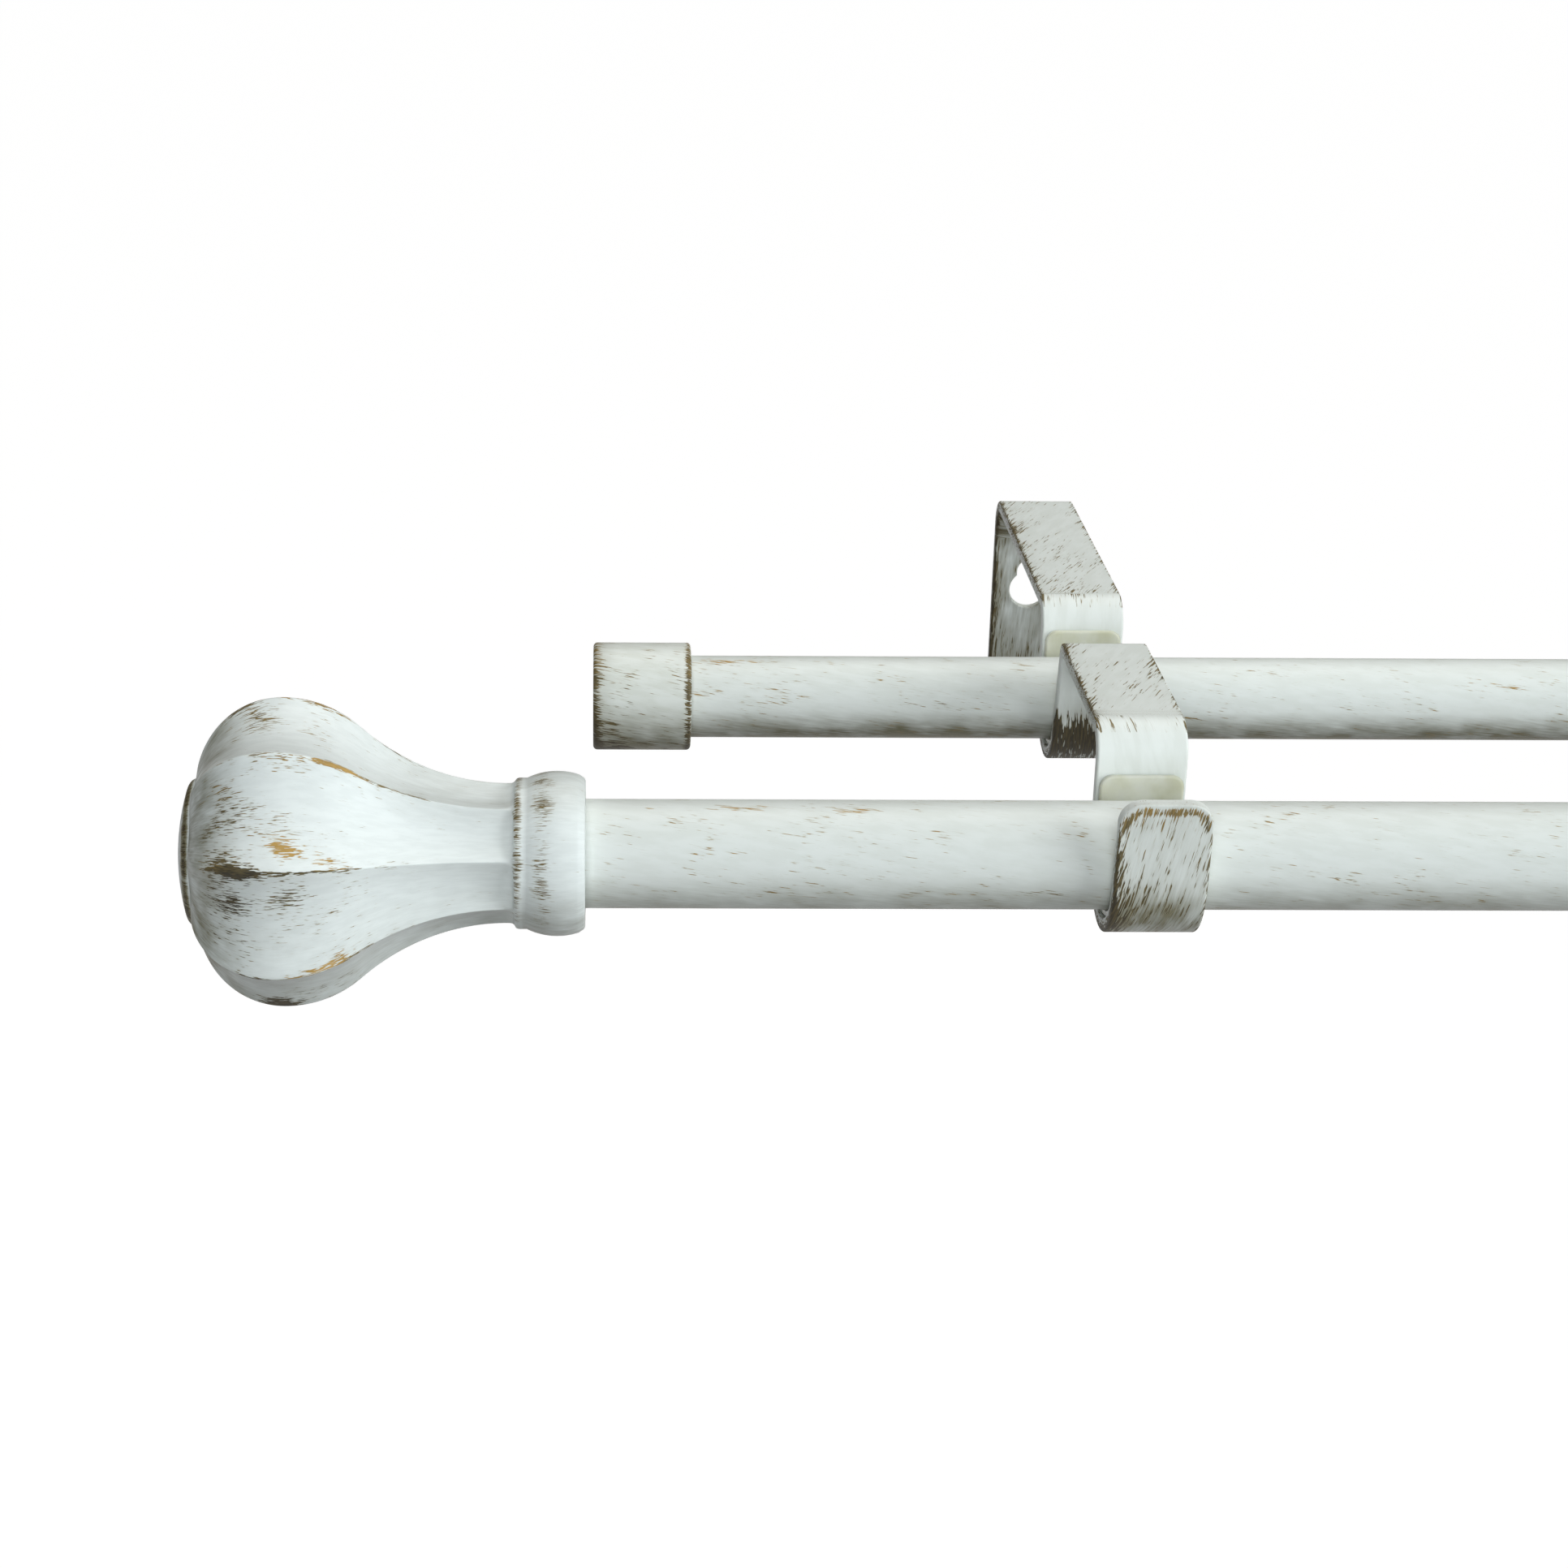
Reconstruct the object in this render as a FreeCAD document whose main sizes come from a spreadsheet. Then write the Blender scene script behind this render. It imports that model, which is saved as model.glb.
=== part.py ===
import FreeCAD, Part
import math
import os
import re

import Sketcher

# Double curtain pole: a thick front tube with fluted finials and a thin back tube with plain caps,
# both lying in plastic-lined cups of two folded strip brackets on a wall.
# X runs along the tubes, Z is up, the wall is the plane Y = 0 and the room is at negative Y.
# The origin lies on the wall, midway between the brackets, level with their lower screw holes.

SIZES = [
    # Tubes
    ("front_tube_diameter", 19.0),
    ("back_tube_diameter", 16.0),
    ("tube_wall", 1.0),
    ("front_tube_length", 1000.0),
    # Where the brackets hold the tubes
    ("bracket_inset", 98.0),
    ("front_projection", 159.0),
    ("back_projection", 87.0),
    ("front_axis_height", 22.0),
    ("back_axis_height", 25.0),
    # Folded strip of a bracket
    ("strip_width", 16.0),
    ("strip_thickness", 2.5),
    ("arm_top_height", 41.5),
    ("bend_radius", 4.0),
    ("fold_radius", 0.8),
    ("arm_flare", 12.0),
    ("tab_flare", 4.0),
    ("tab_top_height", 37.3),
    ("tab_corner", 4.0),
    ("plate_foot", 8.5),
    ("plate_corner", 3.0),
    # Holes of the wall plate
    ("screw_hole_diameter", 4.5),
    ("keyhole_height", 24.3),
    ("keyhole_slot_width", 5.4),
    ("keyhole_mouth_diameter", 8.4),
    ("keyhole_drop", 4.2),
    # Plastic saddles in the cups
    ("liner_thickness", 1.2),
    ("liner_width", 15.0),
    ("liner_rear_height", 11.0),
    ("liner_front_height", 7.0),
    ("liner_corner", 1.5),
    ("liner_gap", 0.1),
    # Finial
    ("finial_turn", 6.8),
    ("socket_depth", 20.0),
    ("socket_gap", 0.1),
    ("collar_radius", 14.35),
    ("collar_curve", 12.0),
    ("collar_crown", 4.9),
    ("collar_edge", 0.8),
    ("ring_radius", 13.15),
    ("ring_end", 11.4),
    ("ring_curve", 0.9),
    ("neck_radius", 12.25),
    ("neck_curve", 39.5),
    ("bulb_radius", 27.0),
    ("bulb_position", 52.3),
    ("bulb_curve", 15.0),
    ("bulb_reach", 14.7),
    ("button_radius", 12.9),
    ("button_height", 3.2),
    ("button_curve", 1.5),
    ("flute_count", 8),
    ("flute_root", 1.6),
    ("ridge_rounding", 0.985),
    # Grub screw of a finial
    ("grub_diameter", 4.0),
    ("grub_key", 2.0),
    ("grub_key_depth", 2.0),
    ("grub_recess", 0.4),
    ("grub_gap", 0.05),
    # Cap of the back tube
    ("cap_diameter", 21.0),
    ("cap_length", 19.0),
    ("cap_end", 2.2),
    ("cap_curve", 0.8),
    ("cap_setback", 1.0),
    ("cap_gap", 0.1),
]

# Sizes that follow from the ones above, as formulas
DERIVED = [
    ("front_tube_radius", "front_tube_diameter / 2"),
    ("back_tube_radius", "back_tube_diameter / 2"),
    ("collar_face", "front_tube_length / 2 - socket_depth"),
    ("bracket_x", "collar_face - bracket_inset"),
    ("cap_base", "collar_face - cap_setback - cap_length"),
    ("back_tube_length", "2 * (cap_base + cap_length - cap_end)"),
    ("strip_middle", "strip_thickness / 2"),
    ("bend_middle", "bend_radius + strip_middle"),
    ("fold_middle", "fold_radius + strip_middle"),
    ("arm_middle", "arm_top_height - strip_middle"),
    ("front_liner_middle", "front_tube_radius + liner_gap + liner_thickness / 2"),
    ("back_liner_middle", "back_tube_radius + liner_gap + liner_thickness / 2"),
    ("front_cup_middle", "front_liner_middle + liner_thickness / 2 + liner_gap + strip_middle"),
    ("back_cup_middle", "back_liner_middle + liner_thickness / 2 + liner_gap + strip_middle"),
    ("flat_share", "cos(180 deg / flute_count) / ridge_rounding"),
    ("ring_step", "(ring_radius - neck_radius) / 2"),
    ("flute_start", "ring_end + sqrt(ring_curve ^ 2 - (ring_curve - ring_step) ^ 2)"),
    ("neck_flat", "neck_radius * flat_share"),
    ("bulb_flat", "bulb_radius * flat_share"),
    ("bulb_end", "bulb_position + bulb_reach"),
    ("finial_length", "bulb_end + button_height"),
    ("bulb_end_ridge", "bulb_radius - bulb_curve + sqrt(bulb_curve ^ 2 - bulb_reach ^ 2)"),
    ("bulb_end_flat", "bulb_end_ridge * flat_share"),
    ("grub_length", "collar_radius - grub_recess - front_tube_radius - grub_gap"),
]

SIZE_NAMES = {name for name, _ in SIZES + DERIVED}
ORIGIN = (-1, 1)
X_AXIS, Y_AXIS = -1, -2
START, END, CENTRE = range(1, 4)

doc = FreeCAD.newDocument("double_curtain_pole")
sheet = doc.addObject("Spreadsheet::Sheet", "Sizes")
rows = [(name, str(value)) for name, value in SIZES]
rows += [(name, "=" + formula) for name, formula in DERIVED]
for row, (name, text) in enumerate(rows, start=1):
    sheet.set("A%d" % row, name)
    sheet.set("B%d" % row, text)
    sheet.setAlias("B%d" % row, name)
doc.recompute()


def size(name):
    """Plain number of one size."""
    return float(sheet.get(name))


def in_sheet(formula):
    """Formula with every size looked up in the sheet."""
    return re.sub(r"[A-Za-z_]\w*",
                  lambda word: ("Sizes." if word[0] in SIZE_NAMES else "") + word[0], formula)


def bind(feature, prop, formula):
    feature.setExpression(prop, in_sheet(formula))


def new_body(label):
    body = doc.addObject("PartDesign::Body", label)
    body.Label = label
    return body


def new_sketch(body, name, plane, offset=None):
    """Sketch on an origin plane of the body, moved along the plane's normal if an offset is given."""
    sketch = body.newObject("Sketcher::SketchObject", name)
    support = next(feature for feature in body.Origin.OriginFeatures if feature.Role == plane)
    sketch.AttachmentSupport = (support, [""])
    sketch.MapMode = "FlatFace"
    if offset:
        bind(sketch, "AttachmentOffset.Base.z", offset)
    return sketch


def add_line(sketch, start, end):
    line = Part.LineSegment(FreeCAD.Vector(*start), FreeCAD.Vector(*end))
    return sketch.addGeometry(line, False)


def add_circle(sketch, centre, radius):
    circle = Part.Circle(FreeCAD.Vector(*centre), FreeCAD.Vector(0, 0, 1), radius)
    return sketch.addGeometry(circle, False)


def add_arc(sketch, centre, radius, start, end):
    """Arc that runs counter-clockwise from start to end."""
    circle = Part.Circle(FreeCAD.Vector(*centre), FreeCAD.Vector(0, 0, 1), radius)
    first, last = (math.atan2(y - centre[1], x - centre[0]) for x, y in (start, end))
    if last < first:
        last += 2 * math.pi
    return sketch.addGeometry(Part.ArcOfCircle(circle, first, last), False)


def relate(sketch, kind, *where):
    sketch.addConstraint(Sketcher.Constraint(kind, *where))


def dimension(sketch, kind, where, formula):
    """Constraint whose value is a formula of the sheet."""
    value = sheet.evalExpression(in_sheet(formula))
    if kind == "Angle":
        value = math.radians(value.Value)
    index = sketch.addConstraint(Sketcher.Constraint(kind, *where, value))
    bind(sketch, "Constraints[%d]" % index, formula)


def locate(sketch, element, point, across=None, up=None):
    """Distances of a point from the sketch's origin."""
    if across:
        dimension(sketch, "DistanceX", ORIGIN + (element, point), across)
    if up:
        dimension(sketch, "DistanceY", ORIGIN + (element, point), up)


def close_loop(sketch, run):
    """Join each element's end to the next one's start; an element is given with its leaving point."""
    for (element, leave), (following, last) in zip(run, run[1:] + run[:1]):
        relate(sketch, "Coincident", element, leave, following, START if last == END else END)


def rectangle(sketch, left, bottom, right, top):
    """Rectangle between four formulas."""
    x0, y0, x1, y1 = (sheet.evalExpression(in_sheet(side)) for side in (left, bottom, right, top))
    corners = [(x0, y0), (x1, y0), (x1, y1), (x0, y1)]
    sides = [add_line(sketch, corners[i], corners[(i + 1) % 4]) for i in range(4)]
    close_loop(sketch, [(side, END) for side in sides])
    for i, side in enumerate(sides):
        relate(sketch, "Vertical" if i % 2 else "Horizontal", side)
    locate(sketch, sides[0], START, left, bottom)
    locate(sketch, sides[2], START, right, top)


def centred_circle(sketch, radius):
    circle = add_circle(sketch, (0, 0), sheet.evalExpression(in_sheet(radius)))
    relate(sketch, "Coincident", circle, CENTRE, *ORIGIN)
    dimension(sketch, "Radius", (circle,), radius)


def extrude(body, kind, sketch, length, symmetric=False, reversed_way=False):
    """Pad or pocket of a sketch."""
    feature = body.newObject("PartDesign::" + kind, sketch.Name + "_" + kind.lower())
    feature.Profile = sketch
    feature.Type = "Length"
    feature.SideType = "Symmetric" if symmetric else "One side"
    feature.Reversed = reversed_way
    bind(feature, "Length", length)
    doc.recompute()
    return feature


def revolve(body, sketch):
    """Turned solid about the body's X axis."""
    feature = body.newObject("PartDesign::Revolution", sketch.Name + "_turned")
    feature.Profile = sketch
    feature.ReferenceAxis = (sketch, ["H_Axis"])
    feature.Angle = 360
    doc.recompute()
    return feature


def sweep(body, section, path):
    """Strip of constant section along a bent path."""
    feature = body.newObject("PartDesign::AdditivePipe", path.Name + "_strip")
    feature.Profile = section
    feature.Spine = (path, ["Edge%d" % (i + 1) for i in range(len(path.Geometry))])
    doc.recompute()
    return feature


def round_edges(body, feature, radius, chosen):
    """Fillet on the edges of a feature that pass a test."""
    fillet = body.newObject("PartDesign::Fillet", feature.Name + "_" + radius)
    names = ["Edge%d" % i for i, edge in enumerate(feature.Shape.Edges, start=1) if chosen(edge)]
    fillet.Base = (feature, names)
    bind(fillet, "Radius", radius)
    doc.recompute()
    return fillet


def round_strip_end(body, feature, thickness, radius, height, projection):
    """Rounded corners at one end of a strip; the corners are the short edges across its thickness."""
    def at_end(edge):
        middle = edge.CenterOfMass
        short = abs(edge.Length - size(thickness)) < 0.02
        return short and abs(middle.z - height) < 0.3 and abs(middle.y + projection) < 3

    return round_edges(body, feature, radius, at_end)


# Tubes: plain round steel tube, open at both ends
def tube(label, diameter, length, projection, height):
    body = new_body(label)
    section = new_sketch(body, label + "_section", "YZ_Plane")
    centred_circle(section, diameter + " / 2")
    centred_circle(section, diameter + " / 2 - tube_wall")
    extrude(body, "Pad", section, length, symmetric=True)
    bind(body, "Placement.Base.y", "-" + projection)
    bind(body, "Placement.Base.z", height)


# Bracket: one flat strip folded into wall plate, arm, back cup, sharp fold, second arm, front cup and tab.
# The path is the strip's middle line; distances from the wall are negative, as in the room.
def bracket_path(body):
    sketch = new_sketch(body, "bracket_path", "YZ_Plane")
    middle, bend, fold, arm = (size(name) for name in
                               ("strip_middle", "bend_middle", "fold_middle", "arm_middle"))
    foot = -size("plate_foot")
    flare, tab_flare = (math.radians(size(name)) for name in ("arm_flare", "tab_flare"))
    back, back_z, back_cup = -size("back_projection"), size("back_axis_height"), size("back_cup_middle")
    front, front_z, front_cup = -size("front_projection"), size("front_axis_height"), size("front_cup_middle")
    back_wall, front_wall = back + back_cup, front + front_cup

    back_lip = (back - back_cup * math.cos(flare), back_z - back_cup * math.sin(flare))
    peak_z = arm - fold + fold * math.sin(flare)
    peak = (back_lip[0] - (peak_z - back_lip[1]) * math.tan(flare), peak_z)
    peak_centre = (peak[0] - fold * math.cos(flare), arm - fold)
    front_lip = (front - front_cup * math.cos(tab_flare), front_z - front_cup * math.sin(tab_flare))
    tab_top = size("tab_top_height")
    tab_end = (front_lip[0] - (tab_top - front_lip[1]) * math.tan(tab_flare), tab_top)

    def bend_down(wall):
        return add_arc(sketch, (wall + bend, arm - bend), bend, (wall + bend, arm), (wall, arm - bend))

    plate = add_line(sketch, (-middle, foot), (-middle, arm - bend))
    top_bend = add_arc(sketch, (-middle - bend, arm - bend), bend,
                       (-middle, arm - bend), (-middle - bend, arm))
    back_arm = add_line(sketch, (-middle - bend, arm), (back_wall + bend, arm))
    back_bend = bend_down(back_wall)
    back_rear = add_line(sketch, (back_wall, arm - bend), (back_wall, back_z))
    back_round = add_arc(sketch, (back, back_z), back_cup, back_lip, (back_wall, back_z))
    back_front = add_line(sketch, back_lip, peak)
    peak_fold = add_arc(sketch, peak_centre, fold, peak, (peak_centre[0], arm))
    front_arm = add_line(sketch, (peak_centre[0], arm), (front_wall + bend, arm))
    front_bend = bend_down(front_wall)
    front_rear = add_line(sketch, (front_wall, arm - bend), (front_wall, front_z))
    front_round = add_arc(sketch, (front, front_z), front_cup, front_lip, (front_wall, front_z))
    tab = add_line(sketch, front_lip, tab_end)

    run = [plate, top_bend, back_arm, back_bend, back_rear, back_round, back_front, peak_fold,
           front_arm, front_bend, front_rear, front_round, tab]
    cups = (back_round, front_round)
    for element, following in zip(run, run[1:]):
        relate(sketch, "Tangent", element, START if element in cups else END,
               following, END if following in cups else START)
    for upright in (plate, back_rear, front_rear):
        relate(sketch, "Vertical", upright)
    for level in (back_arm, front_arm):
        relate(sketch, "Horizontal", level)
        locate(sketch, level, START, up="arm_middle")
    for bent in (top_bend, back_bend, front_bend):
        dimension(sketch, "Radius", (bent,), "bend_middle")
    dimension(sketch, "Radius", (peak_fold,), "fold_middle")
    dimension(sketch, "Radius", (back_round,), "back_cup_middle")
    dimension(sketch, "Radius", (front_round,), "front_cup_middle")
    locate(sketch, plate, START, "-strip_middle", "-plate_foot")
    locate(sketch, back_round, CENTRE, "-back_projection", "back_axis_height")
    locate(sketch, front_round, CENTRE, "-front_projection", "front_axis_height")
    dimension(sketch, "Angle", (back_front,), "(90 + arm_flare) * 1 deg")
    dimension(sketch, "Angle", (tab,), "(90 + tab_flare) * 1 deg")
    locate(sketch, tab, END, up="tab_top_height")
    return sketch


# Keyhole: round mouth for the screw's head, narrower slot above it for the shank
def keyhole_outline(body):
    sketch = new_sketch(body, "keyhole", "XZ_Plane")
    slot, mouth = size("keyhole_slot_width") / 2, size("keyhole_mouth_diameter") / 2
    slot_z = size("keyhole_height")
    mouth_z = slot_z - size("keyhole_drop")
    shoulder = mouth_z + math.sqrt(mouth ** 2 - slot ** 2)
    crown = add_arc(sketch, (0, slot_z), slot, (slot, slot_z), (-slot, slot_z))
    left = add_line(sketch, (-slot, slot_z), (-slot, shoulder))
    round_mouth = add_arc(sketch, (0, mouth_z), mouth, (-slot, shoulder), (slot, shoulder))
    right = add_line(sketch, (slot, shoulder), (slot, slot_z))
    relate(sketch, "Tangent", crown, END, left, START)
    relate(sketch, "Coincident", left, END, round_mouth, START)
    relate(sketch, "Coincident", round_mouth, END, right, START)
    relate(sketch, "Tangent", right, END, crown, START)
    relate(sketch, "Vertical", left)
    relate(sketch, "Vertical", right)
    relate(sketch, "PointOnObject", crown, CENTRE, Y_AXIS)
    relate(sketch, "PointOnObject", round_mouth, CENTRE, Y_AXIS)
    dimension(sketch, "Radius", (crown,), "keyhole_slot_width / 2")
    dimension(sketch, "Radius", (round_mouth,), "keyhole_mouth_diameter / 2")
    locate(sketch, crown, CENTRE, up="keyhole_height")
    locate(sketch, round_mouth, CENTRE, up="keyhole_height - keyhole_drop")
    return sketch


def bracket(label, side):
    body = new_body(label)
    section = new_sketch(body, "bracket_section", "XY_Plane", "-plate_foot")
    rectangle(section, "-strip_width / 2", "-strip_thickness", "strip_width / 2", "0 * strip_thickness")
    strip = sweep(body, section, bracket_path(body))
    with_foot = round_strip_end(body, strip, "strip_thickness", "plate_corner", -size("plate_foot"),
                                size("strip_middle"))
    tab_reach = size("front_projection") + size("front_cup_middle")
    round_strip_end(body, with_foot, "strip_thickness", "tab_corner", size("tab_top_height"), tab_reach)
    screw_hole = new_sketch(body, "screw_hole", "XZ_Plane")
    centred_circle(screw_hole, "screw_hole_diameter / 2")
    for outline in (screw_hole, keyhole_outline(body)):
        extrude(body, "Pocket", outline, "3 * strip_thickness", symmetric=True)
    bind(body, "Placement.Base.x", "%d * bracket_x" % side)


# Liner: moulded plastic saddle that follows the cup, its rear leg standing above the tube
def liner(label, side, rod, flare):
    projection, height, radius = rod + "_projection", rod + "_axis_height", rod + "_liner_middle"
    body = new_body(label)
    path = new_sketch(body, "liner_path", "YZ_Plane")
    y, z, r = -size(projection), size(height), size(radius)
    lean = math.radians(size(flare))
    lip = (y - r * math.cos(lean), z - r * math.sin(lean))
    front_top = z + size("liner_front_height")
    rear = add_line(path, (y + r, z + size("liner_rear_height")), (y + r, z))
    saddle = add_arc(path, (y, z), r, lip, (y + r, z))
    front = add_line(path, lip, (lip[0] - (front_top - lip[1]) * math.tan(lean), front_top))
    relate(path, "Tangent", rear, END, saddle, END)
    relate(path, "Tangent", saddle, START, front, START)
    relate(path, "Vertical", rear)
    dimension(path, "Radius", (saddle,), radius)
    locate(path, saddle, CENTRE, "-" + projection, height)
    locate(path, rear, START, up=height + " + liner_rear_height")
    dimension(path, "Angle", (front,), "(90 + %s) * 1 deg" % flare)
    locate(path, front, END, up=height + " + liner_front_height")
    section = new_sketch(body, "liner_section", "XY_Plane", height + " + liner_rear_height")
    rear_wall = "-%s + %s" % (projection, radius)
    rectangle(section, "-liner_width / 2", rear_wall + " - liner_thickness / 2",
              "liner_width / 2", rear_wall + " + liner_thickness / 2")
    strip = sweep(body, section, path)
    with_rear = round_strip_end(body, strip, "liner_thickness", "liner_corner",
                                z + size("liner_rear_height"), -y - r)
    round_strip_end(body, with_rear, "liner_thickness", "liner_corner", front_top, -y + r)
    bind(body, "Placement.Base.x", "%d * bracket_x" % side)


# Finial: cast and turned about its X axis, which points outward from the collar's face.
# The outline runs over the ridges; eight flats are cut into it afterwards.
def finial_outline(body):
    sketch = new_sketch(body, "finial_outline", "XZ_Plane")
    crown, curve = size("collar_crown"), size("collar_curve")
    collar_z = size("collar_radius") - curve
    ring, ring_end, ring_curve = size("ring_radius"), size("ring_end"), size("ring_curve")
    neck, neck_curve = size("neck_radius"), size("neck_curve")
    bulb, bulb_x, bulb_curve, bulb_end = (size(name) for name in
                                          ("bulb_radius", "bulb_position", "bulb_curve", "bulb_end"))
    button, button_curve, tip = size("button_radius"), size("button_curve"), size("finial_length")

    face_top = (0, collar_z + math.sqrt(curve ** 2 - crown ** 2))
    ring_start = (crown + math.sqrt(curve ** 2 - (ring - collar_z) ** 2), ring)
    step_middle = (size("flute_start"), (ring + neck) / 2)
    neck_x = 2 * size("flute_start") - ring_end
    shoulder_curve, shoulder_end = shoulder(neck_x, neck, neck_curve, bulb_x, bulb)
    end_top = (bulb_end, size("bulb_end_ridge"))
    rise = size("button_height")
    rim_z = button - button_curve
    dome_curve = (rise ** 2 + rim_z ** 2 - button_curve ** 2) / (2 * (rise - button_curve))
    dome_x = tip - dome_curve
    lean = math.atan2(rim_z, bulb_end - dome_x)
    rim_end = (dome_x + dome_curve * math.cos(lean), dome_curve * math.sin(lean))

    face = add_line(sketch, (0, 0), face_top)
    barrel = add_arc(sketch, (crown, collar_z), curve, ring_start, face_top)
    ring_top = add_line(sketch, ring_start, (ring_end, ring))
    ring_edge = add_arc(sketch, (ring_end, ring - ring_curve), ring_curve, step_middle, (ring_end, ring))
    ring_root = add_arc(sketch, (neck_x, neck + ring_curve), ring_curve, step_middle, (neck_x, neck))
    neck_arc = add_arc(sketch, (neck_x, neck + neck_curve), neck_curve, (neck_x, neck), shoulder_end)
    shoulder_arc = add_arc(sketch, (bulb_x, bulb - shoulder_curve), shoulder_curve,
                           (bulb_x, bulb), shoulder_end)
    end_arc = add_arc(sketch, (bulb_x, bulb - bulb_curve), bulb_curve, end_top, (bulb_x, bulb))
    ledge = add_line(sketch, end_top, (bulb_end, button))
    rim = add_arc(sketch, (bulb_end, rim_z), button_curve, rim_end, (bulb_end, button))
    dome = add_arc(sketch, (dome_x, 0), dome_curve, (tip, 0), rim_end)
    axis = add_line(sketch, (tip, 0), (0, 0))

    relate(sketch, "Coincident", face, START, *ORIGIN)
    relate(sketch, "Vertical", face)
    relate(sketch, "Coincident", face, END, barrel, END)
    locate(sketch, barrel, CENTRE, "collar_crown", "collar_radius - collar_curve")
    dimension(sketch, "Radius", (barrel,), "collar_curve")
    relate(sketch, "Coincident", barrel, START, ring_top, START)
    relate(sketch, "Horizontal", ring_top)
    locate(sketch, ring_top, END, "ring_end", "ring_radius")
    relate(sketch, "Tangent", ring_top, END, ring_edge, END)
    dimension(sketch, "Radius", (ring_edge,), "ring_curve")
    relate(sketch, "Tangent", ring_edge, START, ring_root, START)
    dimension(sketch, "Radius", (ring_root,), "ring_curve")
    relate(sketch, "Tangent", ring_root, END, neck_arc, START)
    relate(sketch, "Vertical", neck_arc, START, neck_arc, CENTRE)
    locate(sketch, neck_arc, START, up="neck_radius")
    dimension(sketch, "Radius", (neck_arc,), "neck_curve")
    relate(sketch, "Tangent", neck_arc, END, shoulder_arc, END)
    relate(sketch, "Vertical", shoulder_arc, START, shoulder_arc, CENTRE)
    locate(sketch, shoulder_arc, START, "bulb_position", "bulb_radius")
    relate(sketch, "Tangent", shoulder_arc, START, end_arc, END)
    dimension(sketch, "Radius", (end_arc,), "bulb_curve")
    relate(sketch, "Coincident", end_arc, START, ledge, START)
    locate(sketch, end_arc, START, "bulb_end")
    relate(sketch, "Vertical", ledge)
    locate(sketch, ledge, END, up="button_radius")
    relate(sketch, "Coincident", ledge, END, rim, END)
    relate(sketch, "Vertical", rim, END, rim, CENTRE)
    dimension(sketch, "Radius", (rim,), "button_curve")
    relate(sketch, "Tangent", rim, START, dome, END)
    relate(sketch, "PointOnObject", dome, CENTRE, X_AXIS)
    relate(sketch, "Coincident", dome, START, axis, START)
    locate(sketch, axis, START, "finial_length")
    relate(sketch, "Horizontal", axis)
    relate(sketch, "Coincident", axis, END, *ORIGIN)
    return sketch


def shoulder(neck_x, neck, neck_curve, bulb_x, bulb):
    """Radius and lower end of the round shoulder between the hollow neck and the bulb's widest place."""
    run, drop = bulb_x - neck_x, neck + neck_curve - bulb
    radius = (run ** 2 + drop ** 2 - neck_curve ** 2) / (2 * (neck_curve - drop))
    part = radius / (radius + neck_curve)
    return radius, (bulb_x - run * part, bulb - radius + (drop + radius) * part)


# Flat of the finial: everything above a curved floor is cut away across the bulb and neck
def flat_outline(body):
    sketch = new_sketch(body, "finial_flat", "XZ_Plane")
    neck, root, neck_curve = size("neck_flat"), size("flute_root"), size("neck_curve")
    bulb, bulb_x, bulb_end = size("bulb_flat"), size("bulb_position"), size("bulb_end")
    end_flat = size("bulb_end_flat")
    top, far = 1.2 * size("bulb_radius"), size("finial_length")
    root_x = size("flute_start")
    neck_x = root_x + root
    shoulder_curve, shoulder_end = shoulder(neck_x, neck, neck_curve, bulb_x, bulb)
    end_curve = ((bulb_end - bulb_x) ** 2 + (bulb - end_flat) ** 2) / (2 * (bulb - end_flat))

    rear = add_line(sketch, (root_x, top), (root_x, neck + root))
    root_arc = add_arc(sketch, (neck_x, neck + root), root, (root_x, neck + root), (neck_x, neck))
    neck_arc = add_arc(sketch, (neck_x, neck + neck_curve), neck_curve, (neck_x, neck), shoulder_end)
    shoulder_arc = add_arc(sketch, (bulb_x, bulb - shoulder_curve), shoulder_curve,
                           (bulb_x, bulb), shoulder_end)
    end_arc = add_arc(sketch, (bulb_x, bulb - end_curve), end_curve, (bulb_end, end_flat), (bulb_x, bulb))
    floor = add_line(sketch, (bulb_end, end_flat), (far, end_flat))
    front = add_line(sketch, (far, end_flat), (far, top))
    lid = add_line(sketch, (far, top), (root_x, top))

    relate(sketch, "Vertical", rear)
    relate(sketch, "Tangent", rear, END, root_arc, START)
    dimension(sketch, "Radius", (root_arc,), "flute_root")
    relate(sketch, "Tangent", root_arc, END, neck_arc, START)
    relate(sketch, "Vertical", neck_arc, START, neck_arc, CENTRE)
    locate(sketch, neck_arc, START, up="neck_flat")
    locate(sketch, rear, START, "flute_start", "1.2 * bulb_radius")
    dimension(sketch, "Radius", (neck_arc,), "neck_curve")
    relate(sketch, "Tangent", neck_arc, END, shoulder_arc, END)
    relate(sketch, "Vertical", shoulder_arc, START, shoulder_arc, CENTRE)
    locate(sketch, shoulder_arc, START, "bulb_position", "bulb_flat")
    relate(sketch, "Tangent", shoulder_arc, START, end_arc, END)
    locate(sketch, end_arc, START, "bulb_end", "bulb_end_flat")
    relate(sketch, "Coincident", end_arc, START, floor, START)
    relate(sketch, "Horizontal", floor)
    locate(sketch, floor, END, "finial_length")
    relate(sketch, "Coincident", floor, END, front, START)
    relate(sketch, "Vertical", front)
    relate(sketch, "Coincident", front, END, lid, START)
    relate(sketch, "Horizontal", lid)
    relate(sketch, "Coincident", lid, END, rear, START)
    return sketch


def end_placement(side, distance, projection, height, turn):
    """Placement formula of a piece at one end of a tube, its X axis outward and turned about it."""
    place = "vector(%d * %s; -%s; %s)" % (side, distance, projection, height)
    outward = "rotation(vector(0; 0; 1); %d)" % (0 if side > 0 else 180)
    return "placement(%s; %s * rotation(vector(1; 0; 0); %s))" % (place, outward, turn)


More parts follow.
